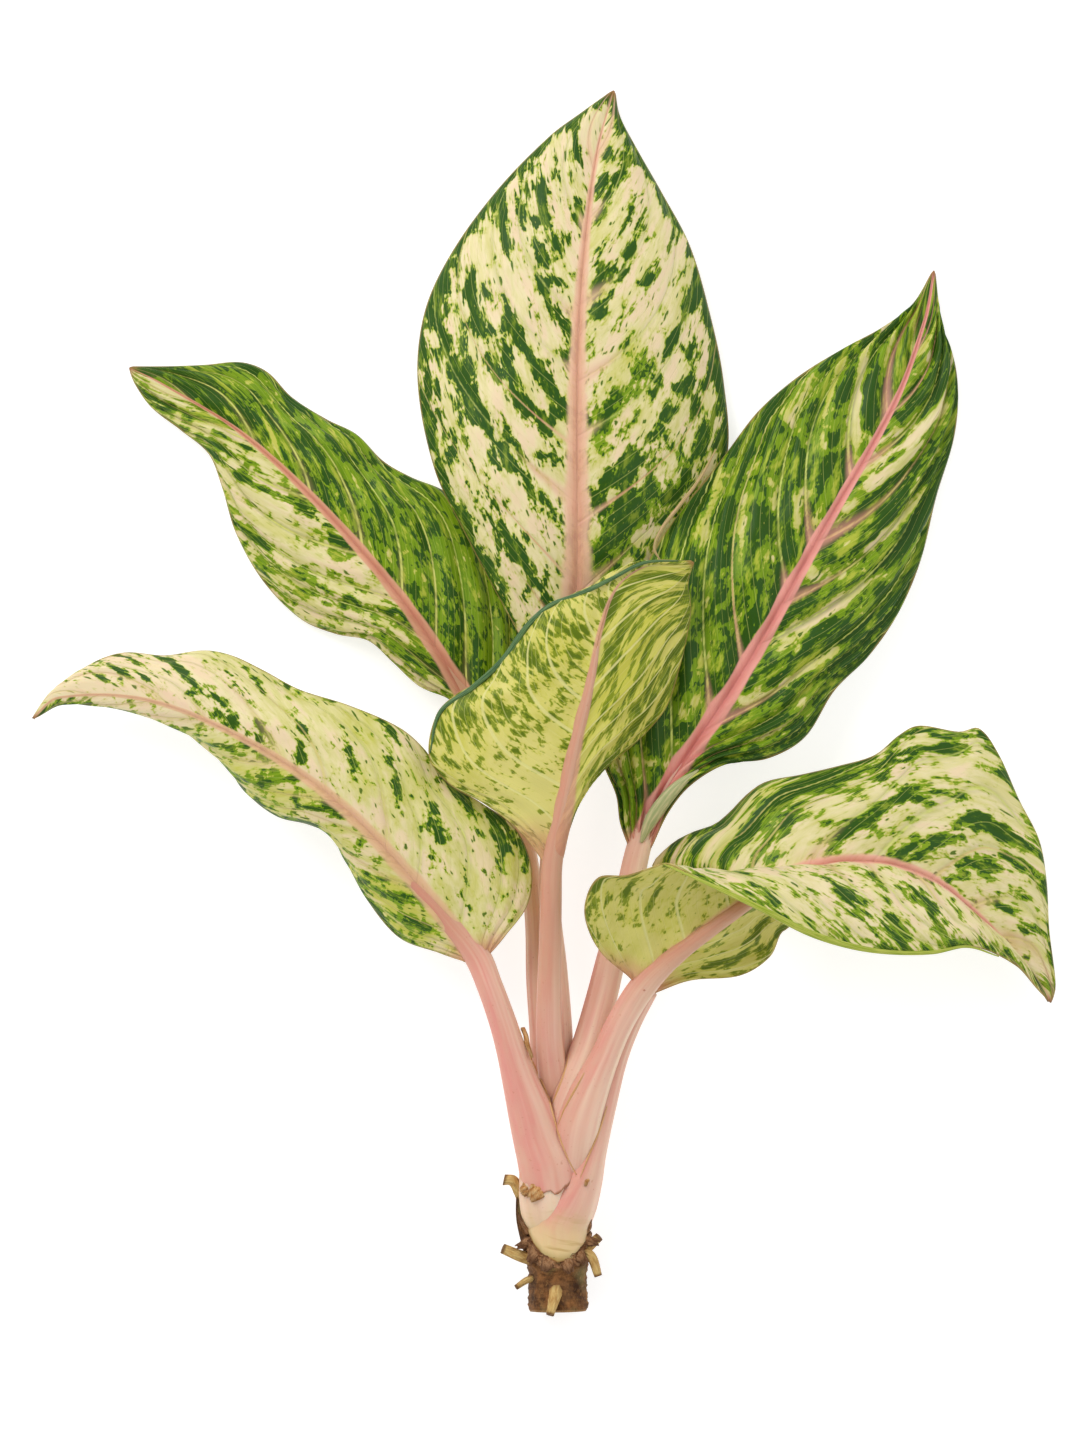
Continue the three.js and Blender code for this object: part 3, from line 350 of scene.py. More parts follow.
# How strong each stalk's blush and its pale side are; the pale side is partly its own cream streaks
# and partly a painted highlight along one side. Where its upper part is duller: how strong that is,
# and how many millimetres along the stalk it starts.
STALK_LOOKS = {
    "top": (0.3, 0.4), "left_upper": (0.3, 0.5, (0.75, 98.0)), "right_upper": (0.45, 0.5),
    "front": (0.4, 0.1, (0.5, 38.0)), "left_lower": (0.7, 0.05, (0.55, 70.0)),
    "right_lower": (0.5, 0.25, (0.6, 62.0)),
}
OUTER_SHEATH = [(4.4, -167.6, 9.6, 8.6, 8.8), (4.5, -160, 9.9, 9.8, 9.7), (4.5, -156, 10.2, 10, 9.8),
                (8.1, -149.4, 12, 8.6, 9), (12, -142, 14, 6.3, 7.4), (14.7, -134.4, 16, 4.6, 5.6),
                (18, -120.3, 19, 4.2, 4.4), (21.6, -106.2, 22, 4, 3.8), (25.8, -95.4, 25, 3.9, 3.4),
                (31, -86.2, 28.8, 3.4, 3)]
INNER_SHEATH = [(3.6, -164, 8.5, 5.5, 5.5), (2.6, -157.5, 10.2, 7, 6.6), (1.4, -153.5, 12.6, 7.9, 6.8),
                (1, -149, 14.6, 8.2, 6.4), (1, -140, 17, 8.2, 5.6)]
# Where the sheaths' lower edges lie round the stalk, from its left side (-1) to its right (1):
# millimetres above the sheath's end.
CUP_EDGE = ((-1, -0.8, -0.5, 0, 0.5, 0.8, 1), (8, 4.6, 1.4, 0, 1.2, 4.4, 9))
TORN_EDGE = ((-1, -0.8, -0.55, -0.2, 0.3, 0.7, 1), (6.5, 4.6, 4.2, 7.2, 5.6, 7.4, 12))
CANE = [(4.6, -183.4, 8.2, 8.3, 8.3), (4.6, -182.4, 8.2, 9.0, 9.0), (4.4, -176, 8.2, 8.8, 8.8),
        (4.4, -171.5, 8.3, 8.8, 8.8), (4.4, -169.4, 8.6, 9.3, 9.2), (4.4, -166.4, 9.1, 8.9, 8.9),
        (4.4, -160, 9.6, 8.4, 8.6), (4.6, -150, 10.5, 6.0, 5.8)]
COLLAR = [(4.4, -170, 8.8, 8.9, 8.9), (4.4, -167.4, 9, 9.4, 9.3), (4.4, -163.4, 9.4, 9.9, 9.7),
          (4.4, -158.6, 9.8, 10.5, 10.2)]
# How far the collar is cut back at its lower and its upper end, in the same way.
COLLAR_FOOT = ((-1, 1), (1, 1))
COLLAR_EDGE = ((-1, -0.8, -0.5, 0, 0.5, 0.8, 1), (0.5, 4, 6.6, 8.2, 6.6, 4, 0.5))
# The roots and the dry strip: the points of a centre line, and the radius at its start and end.
ROOTS = [
    ([(1, -168.6, 9), (-6, -166.9, 11.5), (-12.2, -164.4, 12.5)], (2.1, 1.5)),
    ([(-1, -173.4, 11), (-4.6, -173.8, 12.5), (-8.2, -176, 13.5)], (1.2, 0.8)),
    ([(4.4, -174.6, 13), (3.7, -178, 17), (2.1, -184, 19)], (2.4, 1.2)),
    ([(9, -167, 10), (13.5, -164, 12), (17.0, -160.8, 13)], (1.9, 1.3)),
    ([(10, -166, 12), (14.2, -166.4, 14.5), (16.6, -172.6, 15)], (1.9, 1.1)),
    ([(-5.4, -151, 12.4), (-7.2, -147, 13.8), (-9.2, -143.8, 14.8), (-11.8, -143.6, 14.6)], (1.9, 1.6)),
]
DRY_STRIP = ([(-3.6, -168, 10.5), (-5.4, -161, 12), (-6.6, -155, 13), (-6.8, -148, 14)], (1.5, 1.3))
# Dry scraps of old sheath: middle, direction of the free end in degrees, length, width.
SCRAPS = [
    ((-4.2, -162.2, 14), 205, 4, 3), ((-1.8, -164.8, 16.5), 235, 4, 4), ((1.6, -167.6, 18.2), 250, 3.4, 4),
    ((7.0, -168, 18.4), 290, 3.4, 4), ((10.2, -165.4, 16.6), 310, 4, 4), ((12.8, -161.6, 14.5), 345, 4, 3),
    ((13.2, -158.6, 13.5), 75, 5, 2), ((-5.0, -158.6, 13.5), 115, 5, 2),
]
# Torn bits of the newer sheaths, given in the same way.
TORN_BITS = [
    ((-0.8, -145.4, 21.2), 235, 4.8, 5.6), ((-4.4, -145.8, 19.8), 225, 2.6, 4.4),
    ((13.6, -142.6, 20.6), 250, 2.6, 1.4), ((-5.4, -99.6, 26.4), 286, 7, 1.3),
]
SCRAP_ROWS = 16
SCRAP_COLUMNS = 14
SCRAP_THICKNESS_MM = 0.32
# Thin dry margins of the sheaths, drawn on the stalks as x, y in millimetres.
SHEATH_MARGINS = [
    [(-7.6, -97.3), (-6, -101.3), (-3.1, -108.2), (0.7, -116.1), (2.5, -122), (4.6, -129.1), (7.2, -136.2),
     (10, -141.8)],
    [(8, -105.4), (6.4, -111), (4.2, -117), (2.9, -120.4)],
    [(12.4, -111), (10.2, -115), (6.6, -121.6), (4.6, -126.6)],
    [(19.2, -121), (17, -128), (13.4, -137), (11.2, -142.6)],
]
MARGIN_STEPS = 26
MARGIN_HALF_WIDTH_MM = 0.3
ABOVE_ALL_MM = 100
# Rolled edges along the left margin of a leaf: how far off the margin the roll starts and ends, in
# x and y, and then its points: share of the margin, millimetres above it, half width, half depth.
FRONT_ROLL = ((0.4, -0.5), (0.0, 0.0), [
    (0.32, 0.9, 0.2, 0.2), (0.40, 0.9, 0.6, 0.6), (0.48, 0.9, 0.8, 0.7), (0.56, 0.9, 0.9, 0.7),
    (0.64, 0.9, 0.9, 0.7), (0.70, 1.5, 0.8, 0.7), (0.75, 2.9, 0.7, 0.7), (0.79, 4.9, 0.7, 0.6),
    (0.83, 3.8, 0.6, 0.6), (0.90, 2.2, 0.5, 0.5), (0.97, 1.2, 0.2, 0.2)])
NEAR_ROLL = ((0.0, -0.2), (0.0, -0.2), [
    (0.30, 0.5, 0.2, 0.2), (0.37, 0.5, 0.6, 0.5), (0.44, 0.5, 0.9, 0.6), (0.51, 0.5, 1.0, 0.6),
    (0.58, 0.5, 0.9, 0.6), (0.65, 0.5, 0.7, 0.5), (0.72, 0.5, 0.6, 0.5), (0.79, 0.5, 0.4, 0.4),
    (0.86, 0.5, 0.2, 0.2)])
# Rolled edges of the right upper leaf, given like a stalk: its right margin at the base, and its
# left one beside the front leaf.
BASE_ROLL = [(46.5, -20.3, 28.4, 0.3, 0.4), (41, -24.5, 29, 1.5, 0.8), (36, -30, 28.6, 2.1, 1.1),
             (32, -36, 27.4, 1.9, 1.1), (29.4, -42, 25.8, 0.5, 0.6)]
LIP_ROLL = [(52, 76, 14.4, 0.2, 0.2), (47, 67, 17.4, 0.5, 0.5), (41, 59, 20, 0.6, 0.6),
            (35.7, 52, 22, 0.6, 0.6), (33.4, 46, 23.4, 0.5, 0.5), (35, 42.6, 24, 0.2, 0.2)]


# Curves and meshes

def length_shares(points):
    steps = np.linalg.norm(np.diff(points[:, :3], axis=0), axis=1)
    lengths = np.concatenate([[0.0], np.cumsum(steps)])
    return lengths / lengths[-1]


def smooth(rows, shares, u):
    """The smooth curve through rows, at every share in u."""
    last = len(rows) - 1
    before = np.maximum(np.arange(last + 1) - 1, 0)
    after = np.minimum(np.arange(last + 1) + 1, last)
    slopes = (rows[after] - rows[before]) / (shares[after] - shares[before])[:, None]
    i = np.clip(np.searchsorted(shares, u, side="right") - 1, 0, last - 1)
    h = (shares[i + 1] - shares[i])[:, None]
    s = ((u - shares[i]) / h[:, 0])[:, None]
    start = (1 + 2 * s) * (1 - s) ** 2
    return (start * rows[i] + s * (1 - s) ** 2 * h * slopes[i]
            + (1 - start) * rows[i + 1] + s * s * (s - 1) * h * slopes[i + 1])


def place_curve(points, u):
    rows = np.array(points, float)
    shares = rows[:, 3] if rows.shape[1] == 4 else length_shares(rows)
    return smooth(rows[:, :3], shares, u)


def unit(vectors):
    return vectors / np.maximum(np.linalg.norm(vectors, axis=-1, keepdims=True), 1e-12)


def between(ends, share):
    return ends[0] + (ends[1] - ends[0]) * share


def smoothstep(low, high, x):
    t = np.clip((x - low) / (high - low), 0, 1)
    return t * t * (3 - 2 * t)


def new_piece(name, vertices_mm, faces, attributes, material, slot, replaced=None):
    """A piece of the plant, which rides on the root. vertices_mm are in the drawing's millimetres,
    and an attribute has one or three lists with a value for each of them."""
    mesh = bpy.data.meshes.new(name)
    mesh.from_pydata(((vertices_mm - CENTRE_MM) * MM).tolist(), [], faces)
    mesh.polygons.foreach_set("use_smooth", [True] * len(mesh.polygons))
    for key, parts in attributes.items():
        kind, field = ("FLOAT", "value") if len(parts) == 1 else ("FLOAT_VECTOR", "vector")
        values = np.stack([np.ravel(part) for part in parts], 1).astype(np.float32)
        mesh.attributes.new(key, kind, "POINT").data.foreach_set(field, values.ravel())
    mesh.update()
    mesh.materials.append(material)
    piece = bpy.data.objects.new(name, mesh)
    bpy.context.scene.collection.objects.link(piece)
    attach(piece, "root")
    if replaced:
        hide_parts(replaced)
    return piece


def grid_faces(rows, columns, closed, start=0):
    """Quads of a grid of vertices. A closed grid joins its last column to its first."""
    r = np.arange(rows - 1)[:, None]
    c = np.arange(columns if closed else columns - 1)[None, :]
    n = (c + 1) % columns
    quads = np.stack([r * columns + c, r * columns + n, (r + 1) * columns + n, (r + 1) * columns + c], -1)
    return quads.reshape(-1, 4) + start


def new_shell(name, upper, under, turned, attributes, *finish):
    """A thin closed sheet between two grids of points. Seen from the upper side, its columns lie from
    left to right of the way its rows run, or from right to left where turned is set."""
    rows, columns = upper.shape[:2]
    count = rows * columns
    corner = np.arange(count).reshape(rows, columns)
    border = np.concatenate([corner[:, 0], corner[-1, 1:], corner[-2::-1, -1], corner[0, -2:0:-1]])
    ahead = np.roll(border, -1)
    rim = np.stack([border, ahead, ahead + count, border + count], 1)
    under_faces = grid_faces(rows, columns, False, count)[:, ::-1]
    faces = np.concatenate([grid_faces(rows, columns, False), under_faces, rim])
    if turned:
        faces = faces[:, ::-1]
    doubled = {key: [np.tile(np.ravel(part), 2) for part in parts] for key, parts in attributes.items()}
    doubled["underside"] = [np.repeat([0.0, 1.0], count)]
    vertices = np.concatenate([upper.reshape(-1, 3), under.reshape(-1, 3)])
    return new_piece(name, vertices, faces.tolist(), doubled, *finish)


# Blades

def vein_starts(rng, count):
    """Where the side veins leave the midrib, as shares of its length."""
    even = np.linspace(*VEIN_SPAN, count + EXTRA_VEINS)
    return np.sort(even + rng.uniform(-0.25, 0.25, len(even)) * (even[1] - even[0]))


class Blade:
    """A blade as a grid of points: rows along the midrib and columns from the left margin to the
    right one. u is the share of the length, and v runs from -1 over 0 at the midrib to 1."""

    def __init__(self, name):
        self.leaf, self.look = LEAVES[name], BLADES[name]
        self.rng = np.random.default_rng(self.look["seed"])
        self.lay_surface()
        self.lay_veins()
        self.raise_relief()

    def per_side(self, left, right):
        return np.where(self.v < 0, left, right)

    def lay_surface(self):
        rows = 1 - (1 - np.linspace(0, 1, BLADE_ROWS)) ** ROW_CROWDING
        reach = np.linspace(0, 1, BLADE_COLUMNS + 1) ** COLUMN_CROWDING
        self.u, self.v = np.meshgrid(rows, np.concatenate([-reach[::-1], reach[1:]]), indexing="ij")
        self.r = np.abs(self.v)
        mid = place_curve(self.leaf["mid"], rows)
        along = np.gradient(mid, rows, axis=0)
        self.along_mm = np.concatenate([[0.0], np.cumsum(np.linalg.norm(np.diff(mid, axis=0), axis=1))])
        self.length = self.along_mm[-1]
        fade = np.maximum(np.sin(np.pi * self.u), 0) ** ARCH_FADE
        arch = self.look["arch"] * 4 * self.r * (1 - self.r) * fade
        places, widths = [], []
        for side, turn in (("left", 1), ("right", -1)):
            chord = place_curve(self.leaf[side], rows) - mid
            out = unit(np.cross(along, chord) * turn)
            flat = mid[:, None] + chord[:, None] * self.r[..., None]
            places.append(flat + out[:, None] * arch[..., None])
            widths.append(np.linalg.norm(chord, axis=1)[:, None])
        self.place = np.where(self.v[..., None] < 0, *places)
        self.half_width = self.per_side(*widths)
        self.rib_mm = self.r * self.half_width
        self.margin_mm = (1 - self.r) * self.half_width

    def lay_veins(self):
        """A number that is whole on every side vein, and a length that follows the marks."""
        look = self.look
        straight, bent = (self.per_side(*pair) for pair in zip(*look["lean"]))
        share = self.u - straight * self.r - bent * self.r ** 3
        left = vein_starts(self.rng, look["veins"])
        right = vein_starts(self.rng, look["veins"])
        self.vein = self.per_side(np.interp(share, left, np.arange(len(left))),
                                  np.interp(share, right, np.arange(len(right)) + RIGHT_VEINS_FROM))
        spaces = look["veins"] + EXTRA_VEINS - 1
        self.spacing_mm = (VEIN_SPAN[1] - VEIN_SPAN[0]) / spaces * self.length
        slope = self.per_side(*look["slope"])
        steep = slope * (1 + look["steeper"] * self.u ** 2)
        sloping_mm = self.along_mm[:, None] - steep * self.rib_mm - MARK_BEND * self.rib_mm ** 2
        self.flow_mm = sloping_mm + look["flow"] * (share * self.length - sloping_mm)
        self.slant = np.hypot(1, slope)

    def raise_relief(self):
        """Swells between the side veins, furrows along them, and soft puckers."""
        self.normal = unit(np.cross(np.gradient(self.place, axis=1), np.gradient(self.place, axis=0)))
        off_mm = np.abs(self.vein - np.round(self.vein)) * self.spacing_mm
        furrow = np.exp(-((off_mm / FURROW_MM) ** 2))
        swell = 0.5 - 0.5 * np.cos(2 * np.pi * self.vein)
        relief = self.look["upper"] * self.look["ridge"] * (1.4 * swell - 0.7 - 0.5 * furrow)
        for _ in range(PUCKER_WAVES):
            along, across = self.rng.uniform(*PUCKERS_PER_MM, 2) * 2 * np.pi
            phases = self.rng.uniform(0, 2 * np.pi, 2)
            waves = np.sin(along * self.u * self.length + phases[0])
            relief += PUCKER_MM * waves * np.sin(across * self.v * PUCKER_HALF_MM + phases[1])
        calm = smoothstep(0, 8, self.half_width) * smoothstep(0, 1.5, self.margin_mm)
        relief *= calm * smoothstep(0, 3, self.rib_mm)
        self.place += self.normal * relief[..., None]

    def both_faces(self):
        """The points of the upper face and of the underside with its keel."""
        half = between(BLADE_THICKNESS_MM, self.r) / 2
        keel_width = between(KEEL_WIDTH_MM, self.u)
        keel_depth = between(KEEL_DEPTH_MM, np.sqrt(self.u))
        keel = keel_depth * np.exp(-((self.rib_mm / keel_width) ** 2))
        channel = np.exp(-((self.rib_mm / (0.6 * keel_width)) ** 2)) * smoothstep(0, 0.1, self.u)
        up = self.normal * self.look["upper"]
        faces = (self.place + up * (half - CHANNEL_DEPTH * keel_depth * channel)[..., None],
                 self.place - up * (half + keel)[..., None])
        for face in faces:
            face[..., 2] = np.maximum(face[..., 2], 0.0)
        return faces

    def patches(self, key):
        """The level of either side, with smooth patches added round chosen points of the leaf. Where
        the leaf lies over itself, a point counts as nearer the higher it lies."""
        levels, spots = self.look[key]
        total = self.per_side(*levels)
        across_mm = self.v * self.half_width
        for x, y, reach_across, reach_along, amount in spots:
            away = np.hypot(self.place[..., 0] - x, self.place[..., 1] - y) - 0.05 * self.place[..., 2]
            near = np.unravel_index(np.argmin(away), away.shape)
            across = (self.flow_mm - self.flow_mm[near]) / reach_across
            along = (across_mm - across_mm[near]) / (reach_along * VEIN_SLANT)
            total += amount * np.exp(-across ** 2 - along ** 2)
        return total

    def attributes(self):
        look = self.look
        edges = self.per_side(*look["edges"]) * smoothstep(0.02, 0.2, self.u)
        cover = self.patches("cover") + edges * np.exp(-((self.margin_mm / EDGE_REACH_MM) ** 2))
        rib_base, rib_tip, taper = look["rib"]
        rib_wide = between((rib_tip, rib_base), (1 - self.u) ** taper)
        out_mm = self.rib_mm * self.slant / self.per_side(*look["drawn"])
        page = np.sign(self.v) * SIDE_PAGES + look["seed"] * SEED_PAGES
        return {
            "vein_place": (self.flow_mm / self.slant, out_mm, page),
            "rib_place": (self.rib_mm, rib_wide, self.margin_mm),
            "leaf_place": (self.u, self.v * self.half_width, self.u * self.length),
            "paint": (cover, self.patches("tint"), self.patches("dark")),
            "vein": (self.vein,),
        }


def build_blade(name):
    blade = Blade(name)
    look = blade.look
    new_shell("leaf_" + name, *blade.both_faces(), look["upper"] < 0, blade.attributes(),
              blade_material(name, look, blade.spacing_mm), look["slot"], "blade_" + name)


# Nodes of materials

class Nodes:
    """Short calls for building a node tree."""

    def __init__(self, name):
        self.material = bpy.data.materials.new(name)
        self.material.use_nodes = True
        self.tree = self.material.node_tree
        self.shader = self.tree.nodes["Principled BSDF"]

    def put(self, value, socket):
        if isinstance(value, bpy.types.NodeSocket):
            self.tree.links.new(value, socket)
        else:
            socket.default_value = value

    def attribute(self, name, output="Fac"):
        node = self.tree.nodes.new("ShaderNodeAttribute")
        node.attribute_name = name
        return node.outputs[output]

    def parts(self, name):
        """The three numbers of a mesh attribute."""
        node = self.tree.nodes.new("ShaderNodeSeparateXYZ")
        self.put(self.attribute(name, "Vector"), node.inputs[0])
        return node.outputs

    def join(self, x, y, z):
        node = self.tree.nodes.new("ShaderNodeCombineXYZ")
        for value, socket in zip((x, y, z), node.inputs):
            self.put(value, socket)
        return node.outputs[0]

    def math(self, operation, a, b=0.0, c=0.0, clamp=False):
        node = self.tree.nodes.new("ShaderNodeMath")
        node.operation = operation
        node.use_clamp = clamp
        for value, socket in zip((a, b, c), node.inputs):
            self.put(value, socket)
        return node.outputs[0]

    def add(self, a, b, clamp=False):
        return self.math("ADD", a, b, clamp=clamp)

    def times(self, a, b):
        return self.math("MULTIPLY", a, b)

    def scaled(self, value, factor, added, clamp=False):
        """value * factor + added."""
        return self.math("MULTIPLY_ADD", value, factor, added, clamp)

    def larger(self, a, b):
        return self.math("MAXIMUM", a, b)

    def off_whole(self, value):
        """How far a value is from the nearest whole number."""
        return self.math("ABSOLUTE", self.math("SUBTRACT", value, self.math("ROUND", value)))

    def step(self, value, low, high):
        """0 below low, 1 above high, smooth between. low may be above high."""
        node = self.tree.nodes.new("ShaderNodeMapRange")
        node.interpolation_type = "SMOOTHSTEP"
        self.put(value, node.inputs["Value"])
        self.put(low, node.inputs["From Min"])
        self.put(high, node.inputs["From Max"])
        return node.outputs["Result"]

    def noise(self, vector, detail=2.0, roughness=0.6, distortion=0.0, scale=1.0):
        node = self.tree.nodes.new("ShaderNodeTexNoise")
        self.put(vector, node.inputs["Vector"])
        node.inputs["Scale"].default_value = scale
        node.inputs["Detail"].default_value = detail
        node.inputs["Roughness"].default_value = roughness
        node.inputs["Distortion"].default_value = distortion
        return node.outputs["Fac"]

    def random(self, value):
        node = self.tree.nodes.new("ShaderNodeTexWhiteNoise")
        node.noise_dimensions = "1D"
        self.put(value, node.inputs["W"])
        return node.outputs["Value"]

    def mix(self, share, a, b):
        node = self.tree.nodes.new("ShaderNodeMix")
        node.data_type = "RGBA"
        self.put(share, node.inputs[0])
        self.put(a, node.inputs[6])
        self.put(b, node.inputs[7])
        return node.outputs[2]

    def layers(self, colour, *layers):
        """A colour with tones laid over it, each as strongly as its mask and its strength say."""
        for tone, mask, strength in layers:
            colour = self.mix(self.times(mask, strength), colour, tone)
        return colour

    def stretched(self, a, a_mm, b, b_mm, page):
        """A place in a noise whose marks are a_mm by b_mm large."""
        return self.join(self.math("DIVIDE", a, a_mm), self.math("DIVIDE", b, b_mm), page)

    def bump(self, height, strength, distance):
        node = self.tree.nodes.new("ShaderNodeBump")
        node.inputs["Strength"].default_value = strength
        node.inputs["Distance"].default_value = distance
        self.put(height, node.inputs["Height"])
        return node.outputs["Normal"]

    def finish(self, colour, height, strength, distance, roughness, specular=0.25):
        self.put(colour, self.shader.inputs["Base Color"])
        self.put(self.bump(height, strength, distance), self.shader.inputs["Normal"])
        self.put(roughness, self.shader.inputs["Roughness"])
        self.shader.inputs["Specular IOR Level"].default_value = specular
        return self.material

    def soften(self, weight, radius, scale):
        """Light that passes a little way under the skin."""
        self.shader.inputs["Subsurface Weight"].default_value = weight
        self.shader.inputs["Subsurface Radius"].default_value = radius
        self.shader.inputs["Subsurface Scale"].default_value = scale


def rgb(red, green, blue):
    """A colour from the 0 to 255 scale of a screen."""
    def linear(x):
        x /= 255
        return x / 12.92 if x <= 0.04045 else ((x + 0.055) / 1.055) ** 2.4
    return (linear(red), linear(green), linear(blue), 1.0)


# Material of the blades

CREAM = rgb(226, 214, 168)
BLUSH = rgb(228, 200, 168)
YELLOW_GREEN = rgb(190, 188, 84)
LIME = rgb(160, 172, 36)
PALE_LIME = rgb(168, 176, 58)
MID_GREEN = rgb(96, 132, 6)
BRIGHT_GREEN = rgb(130, 158, 28)
DARK_GREEN = rgb(44, 80, 6)
BLUE_GREEN = rgb(44, 82, 28)
PINK = rgb(214, 146, 124)
PALE_VEIN = rgb(208, 214, 112)
UNDER_PALE = rgb(210, 201, 118)
UNDER_LIME = rgb(186, 184, 60)
UNDER_GREEN = rgb(108, 128, 8)
UNDER_DARK = rgb(76, 100, 12)
UNDER_VEIN = rgb(216, 210, 138)
UNDER_FINE_VEIN = rgb(212, 206, 126)
EDGE = rgb(170, 140, 84)
TIP = rgb(150, 104, 60)
STALK_PINK = rgb(210, 148, 122)


class BladeNodes(Nodes):
    """Nodes with a blade's own coordinates, and with the noises and masks that its colours share."""

    def __init__(self, name, look, spacing_mm):
        super().__init__("blade_" + name)
        self.look = look
        self.spacing_mm = spacing_mm
        self.flow, self.out, self.page = self.parts("vein_place")
        self.from_rib, self.rib_wide, self.from_margin = self.parts("rib_place")
        self.share, self.across, self.along = self.parts("leaf_place")
        self.cover, self.tint, self.dark = self.parts("paint")
        self.vein = self.attribute("vein")
        self.ragged = self.pattern(1.8, 2.6, 3.0, distortion=0.6)
        self.streak = self.pattern(0.8, 12.0, 17.0)
        self.cloud = self.pattern(7.0, 12.0, 23.0)
        self.place_marks()
        self.place_veins()
        self.place_midrib()

    def pattern(self, across_mm, along_mm, shift=0.0, detail=2.0, roughness=0.6, distortion=0.0):
        """Noise drawn out along the side veins."""
        place = self.stretched(self.flow, across_mm, self.out, along_mm, self.add(self.page, shift))
        return self.noise(place, detail, roughness, distortion)

    def place_marks(self):
        """Ragged islands drawn out along the side veins, mixed with round blotches, and flecks."""
        wide, long = self.look["marks"]
        round_mm = 0.5 * (wide + long)
        round_share = self.look["blotch"]
        plain = self.stretched(self.across, round_mm, self.along, round_mm, 5.0)
        blotch = self.noise(plain, 3.0, 0.62, 0.4)
        drawn_out = self.pattern(wide, long, 0.0, 2.6, 0.62, 0.3)
        big = self.scaled(blotch, round_share, self.times(drawn_out, 1 - round_share))
        big = self.scaled(big, 1.36, -0.18)
        self.island = self.scaled(self.math("SUBTRACT", self.ragged, 0.5), self.look["rough"], big)
        self.level = self.scaled(self.cover, -0.30, 0.66)
        self.halo = self.above(-0.12, 0.11)
        self.lime = self.above(-0.055, 0.045)
        self.middle = self.above(-0.01, 0.02)
        self.deep = self.above(self.scaled(self.dark, -0.12, 0.125), 0.025)
        noise = self.pattern(1.9, 2.8, 11.0, 1.5, 0.5)
        level = self.scaled(self.cover, -0.08, 0.705 - self.look["flecks"])
        self.fleck = self.step(noise, level, self.add(level, 0.03))
        self.fleck_halo = self.step(noise, self.math("SUBTRACT", level, 0.07), level)
        ground = self.add(self.tint, self.scaled(self.cloud, 1.8, -0.9))
        self.ground = self.add(ground, self.scaled(self.ragged, 0.9, -0.45), clamp=True)

    def above(self, offset, width):
        """Where the islands stand above a level."""
        low = self.add(self.level, offset)
        return self.step(self.island, low, self.add(low, width))

    def place_veins(self):
        """The side veins, with finer ones between them."""
        self.off_mm = self.times(self.off_whole(self.vein), self.spacing_mm)
        wander = self.scaled(self.streak, 0.4, 0.35 + 0.45 * self.look["vein_look"][1])
        self.line = self.step(self.off_mm, wander, 0.25)
        finer_mm = self.times(self.off_whole(self.times(self.vein, 5.0)), self.spacing_mm / 5)
        self.fine_line = self.step(finer_mm, 0.22, 0.05)

    def place_midrib(self):
        """The midrib: a darker middle line between paler sides, with soft edges."""
        outer, inner = self.look["rib_edge"]
        self.uneven = self.noise(self.stretched(self.along, 7.0, self.across, 12.0, self.page), 3.0)
        band = self.math("DIVIDE", self.from_rib, self.rib_wide)
        band = self.scaled(self.math("SUBTRACT", self.uneven, 0.5), outer - inner, band)
        self.rib = self.step(band, outer, inner)
        self.fibre = self.noise(self.stretched(self.along, 14.0, self.from_rib, 1 / 2.2, self.page))
        core = self.times(self.step(band, 0.75, 0.1), self.scaled(self.fibre, 0.8, 0.3))
        self.side_tone, core_tone = (rgb(*tone) for tone in self.look["rib_tone"])
        self.rib_colour = self.mix(core, self.side_tone, core_tone)


def marked_colour(n):
    """Pale, then lime, green and dark toward the middle of a mark."""
    warm = n.scaled(n.step(n.cloud, 0.52, 0.36), 0.6, n.scaled(n.tint, -0.4, 0.15), clamp=True)
    pale = n.mix(warm, n.mix(n.ground, CREAM, YELLOW_GREEN), BLUSH)
    near_mark = n.larger(n.times(n.lime, 0.9), n.times(n.fleck_halo, 0.45))
    near_mark = n.larger(near_mark, n.times(n.halo, 0.35))
    colour = n.mix(near_mark, pale, n.mix(n.ragged, LIME, YELLOW_GREEN))
    green = n.mix(n.step(n.streak, 0.3, 0.7), MID_GREEN, BRIGHT_GREEN)
    colour = n.mix(n.larger(n.middle, n.times(n.fleck, 0.8)), colour, green)
    blue = n.step(n.add(n.streak, n.math("SUBTRACT", n.cloud, 0.5)), 0.35, 0.65)
    dark = n.layers(DARK_GREEN, (BLUE_GREEN, blue, 0.6))
    return n.mix(n.larger(n.deep, n.times(n.fleck, 0.7)), colour, dark)


def mottled(n, colour):
    """Lighter patches and specks in the dark parts."""
    wide, long = n.look["marks"]
    patch = n.pattern(wide * 0.8, long * 0.7, 41.0, 4.0, 0.68)
    for low, tone in ((0.50, n.mix(n.ragged, MID_GREEN, BRIGHT_GREEN)), (0.56, PALE_LIME)):
        mottle = n.times(n.step(patch, low, low + 0.10), n.look["mottle"])
        colour = n.layers(colour, (tone, mottle, n.middle))
    speck = n.step(n.pattern(0.8, 1.5, 47.0, 1.0, 0.5), 0.70, 0.76)
    return n.layers(colour, (YELLOW_GREEN, n.times(speck, n.deep), 0.6))


